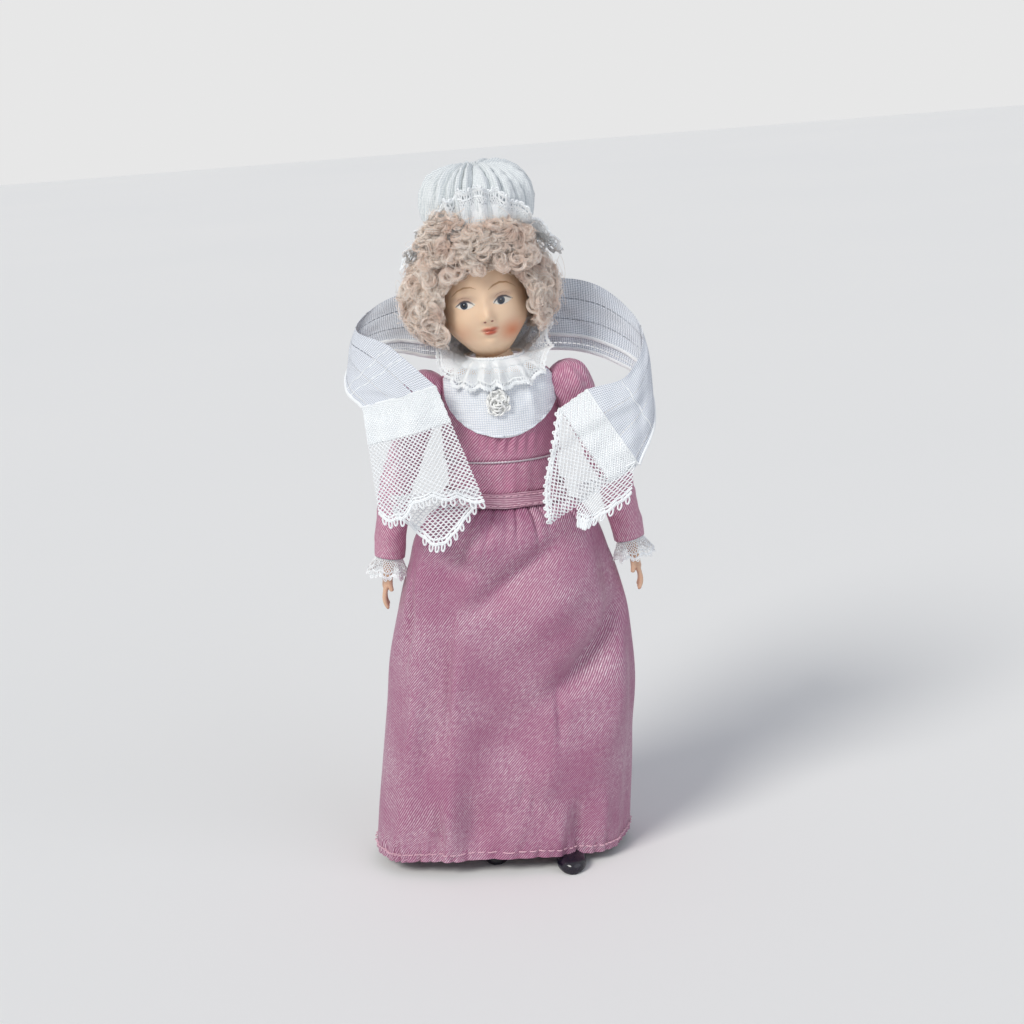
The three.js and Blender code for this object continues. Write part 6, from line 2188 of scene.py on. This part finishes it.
@dataclass
class Stole:
    """A gauze stole that lies double behind the neck, goes round the arms and hangs in front in lace ends."""

    halves: tuple[StoleHalf, ...] = (LEFT_HALF, RIGHT_HALF)
    # The doubled part behind the neck, as shares along and across the cotton
    doubled_long: float = 0.56
    doubled_wide: float = 0.8

    def bend(self, made: bpy.types.Object, side: Side) -> None:
        """Bakes where a part of the stole lies into its mesh, so that it stays there."""
        f"upper_arm_{side.word}"
        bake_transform(made)

    def hem(self, half: StoleHalf, across: float, shares: tuple[float, float], forward: float) -> Shape:
        """Rolls a hem, whipped round with thread, along an edge of the stole.

        Args:
            half: which half.
            across: where the edge lies, as a share across the cotton.
            shares: where it starts and ends, as shares along the cotton.
            forward: how far it is moved towards the front, in millimetres.

        Returns:
            The hem's plies.
        """
        along = ramp(*shares, 170)
        centre = half.point(along, np.full_like(along, across)) - [0, forward, 0]
        plies = []
        for start in (0, 2.1, 4.2):
            twist = along * 190 + start
            plies.append(centre + 0.17 * xyz(0 * along, np.cos(twist), np.sin(twist)))
        return Shape.tubes(np.concatenate(plies), 0.3, 6)

    def dress(self, half: StoleHalf) -> None:
        """Makes one half: cotton, its doubled part behind the neck, hems, lace end and corner.

        Args:
            half: which one.
        """
        side, word = half.side, half.side.word
        u, v = np.linspace(0, 1, 80)[:, None], ramp(0, 1, 200)
        if side is Side.LEFT:
            u = u[::-1]
        points = half.point(v + 0 * u, u + 0 * v)
        cloth = xyz(u * 20, v * 57, 0 * v)
        made = piece(f"stole_cotton_{word}", Shape.grid(points, cloth=cloth), GAUZE, "cotton_gauze",
                     "stole_panel")
        thicken(made, 0.16)
        long, wide = self.doubled_long, self.doubled_wide
        points = half.point(long * v + 0 * u, wide * u + 0 * v)
        points[..., 1] -= 0.4 * ease(u, 0, 0.25)
        shape = Shape.grid(points, cloth=xyz(u * 17, v * 32, 0 * v))
        doubled = piece(f"stole_doubling_{word}", shape, GAUZE, "cotton_gauze")
        thicken(doubled, 0.16)
        rolls = [self.hem(half, 1.0, (0, 1), 0), self.hem(half, wide, (0, long), 0.5)]
        across = ramp(0.02, 0.98, 60)
        lines = np.array(half.pulled)[:, None] + 0.004 * np.sin(across * 21)
        pulled = half.point(lines, across + 0 * lines) - [0, 0.14, 0]
        rolls.append(Shape.tubes(pulled, 0.1))
        hems = piece(f"stole_hems_{word}", Shape.join(rolls), LACE, "cotton_gauze")
        lace = piece(f"stole_end_{word}", half.lace.lay(half.net_point), LACE, "lace", f"stole_lace_{word}")
        corner = piece(f"stole_corner_{word}", half.corner.lay(half.corner_point), LACE, "lace")
        for part in (made, doubled, hems, lace, corner):
            self.bend(part, side)
        wide, long, area = half.cut

    def build(self) -> None:
        """Makes both halves."""
        for half in self.halves:
            self.dress(half)


@dataclass
class Studio:
    """A pale floor, a plain white surround, soft lamps, and the camera at the photograph's angle."""

    lens: float = 67.5
    eye: tuple[float, float, float] = (1.1, -397.0, 178.2)
    pitch: float = 14.3
    roll: float = 4.5

    def camera(self) -> None:
        """Sets the camera."""
        data = bpy.data.cameras.new("camera")
        data.lens = self.lens
        data.clip_start = 0.01
        data.clip_end = 20
        made = bpy.data.objects.new("camera", data)
        p, r = math.radians(self.pitch), math.radians(self.roll)
        ahead = Vector((0, math.cos(p), -math.sin(p)))
        up, right = Vector((0, math.sin(p), math.cos(p))), Vector((1, 0, 0))
        turned_up = up * math.cos(r) + right * math.sin(r)
        turned_right = right * math.cos(r) - up * math.sin(r)
        turn = Matrix((turned_right, turned_up, -ahead)).transposed()
        made.matrix_world = Matrix.Translation(Vector(self.eye) * MM) @ turn.to_4x4()
        bpy.context.scene.collection.objects.link(made)
        bpy.context.scene.camera = made

    def lamp(self, name: str, toward: tuple[float, float, float], spread: float, power: float,
             tint: str) -> None:
        """Adds a soft lamp so far off that it lights the doll and the floor evenly.

        Args:
            name: the lamp's name.
            toward: the way to the lamp.
            spread: how wide it looks, in degrees.
            power: its strength.
            tint: its colour.
        """
        data = bpy.data.lights.new(name, "SUN")
        data.angle = math.radians(spread)
        data.energy = power
        data.color = linear(tint)[:3]
        made = bpy.data.objects.new(name, data)
        made.rotation_euler = Vector(toward).to_track_quat("Z", "Y").to_euler()
        bpy.context.scene.collection.objects.link(made)

    def surround(self) -> None:
        """A white world to the eye and in reflections, and a plain level of light on the doll."""
        world = bpy.data.worlds.new("surround")
        bpy.context.scene.world = world
        g = Graph(world)
        path = g.add("LightPath")
        seen = g.add("Math", {0: (path, "Is Camera Ray"), 1: (path, "Is Glossy Ray")}, operation="MAXIMUM")
        through = g.add("Math", {0: seen, 1: (path, "Is Transmission Ray")}, operation="MAXIMUM")
        light = g.add("Background", {"Color": "#E9EEF8", "Strength": 0.46})
        g.add("OutputWorld", {"Surface": g.add("MixShader", {0: through, 1: light, 2: g.add("Background")})})

    def build(self) -> None:
        """Makes the floor, the light and the camera."""
        side = np.linspace(-2500, 2500, 2)
        points = xyz(side[:, None], side[None, :], np.array(-0.02))
        floor = bpy.data.objects.new("floor", Shape.grid(points).mesh("floor"))
        floor.data.materials.append(PaleFloor("pale_floor").material())
        bpy.context.scene.collection.objects.link(floor)
        self.surround()
        self.lamp("key", (-0.55, -0.62, 0.72), 24, 1.9, "#FFFDF8")
        self.lamp("fill", (0.7, -0.6, 0.5), 50, 0.45, "#EEF3FF")
        self.camera()
        bpy.context.scene.view_settings.view_transform = "Standard"


def hidden_parts() -> None:
    """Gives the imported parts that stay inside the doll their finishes."""
    for name, finish in (("shoulder_plate", PLATE), ("spine_wire", WIRE), ("neck_wire", WIRE)):
        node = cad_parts[name]
        node.data.materials.clear()
        node.data.materials.append(finish.material())


def main() -> None:
    """Builds the doll piece by piece."""
    logging.basicConfig(level=logging.INFO, format="%(name)s: %(message)s")
    Studio().build()
    gown = Gown()
    steps = (
        ("head", Head().build), ("wig", Wig().build), ("cap", MobCap().build), ("torso", torso),
        ("gown", gown.build), ("neck dress", lambda: NeckDress().build(gown)),
        ("left arm", Arm(Side.LEFT).build), ("right arm", Arm(Side.RIGHT).build),
        ("left leg", Leg(Side.LEFT).build), ("right leg", Leg(Side.RIGHT).build), ("stole", Stole().build),
        ("hidden parts", hidden_parts),
    )
    for title, step in steps:
        step()
        LOG.info("built %s", title)


if __name__ == "__main__":
    main()
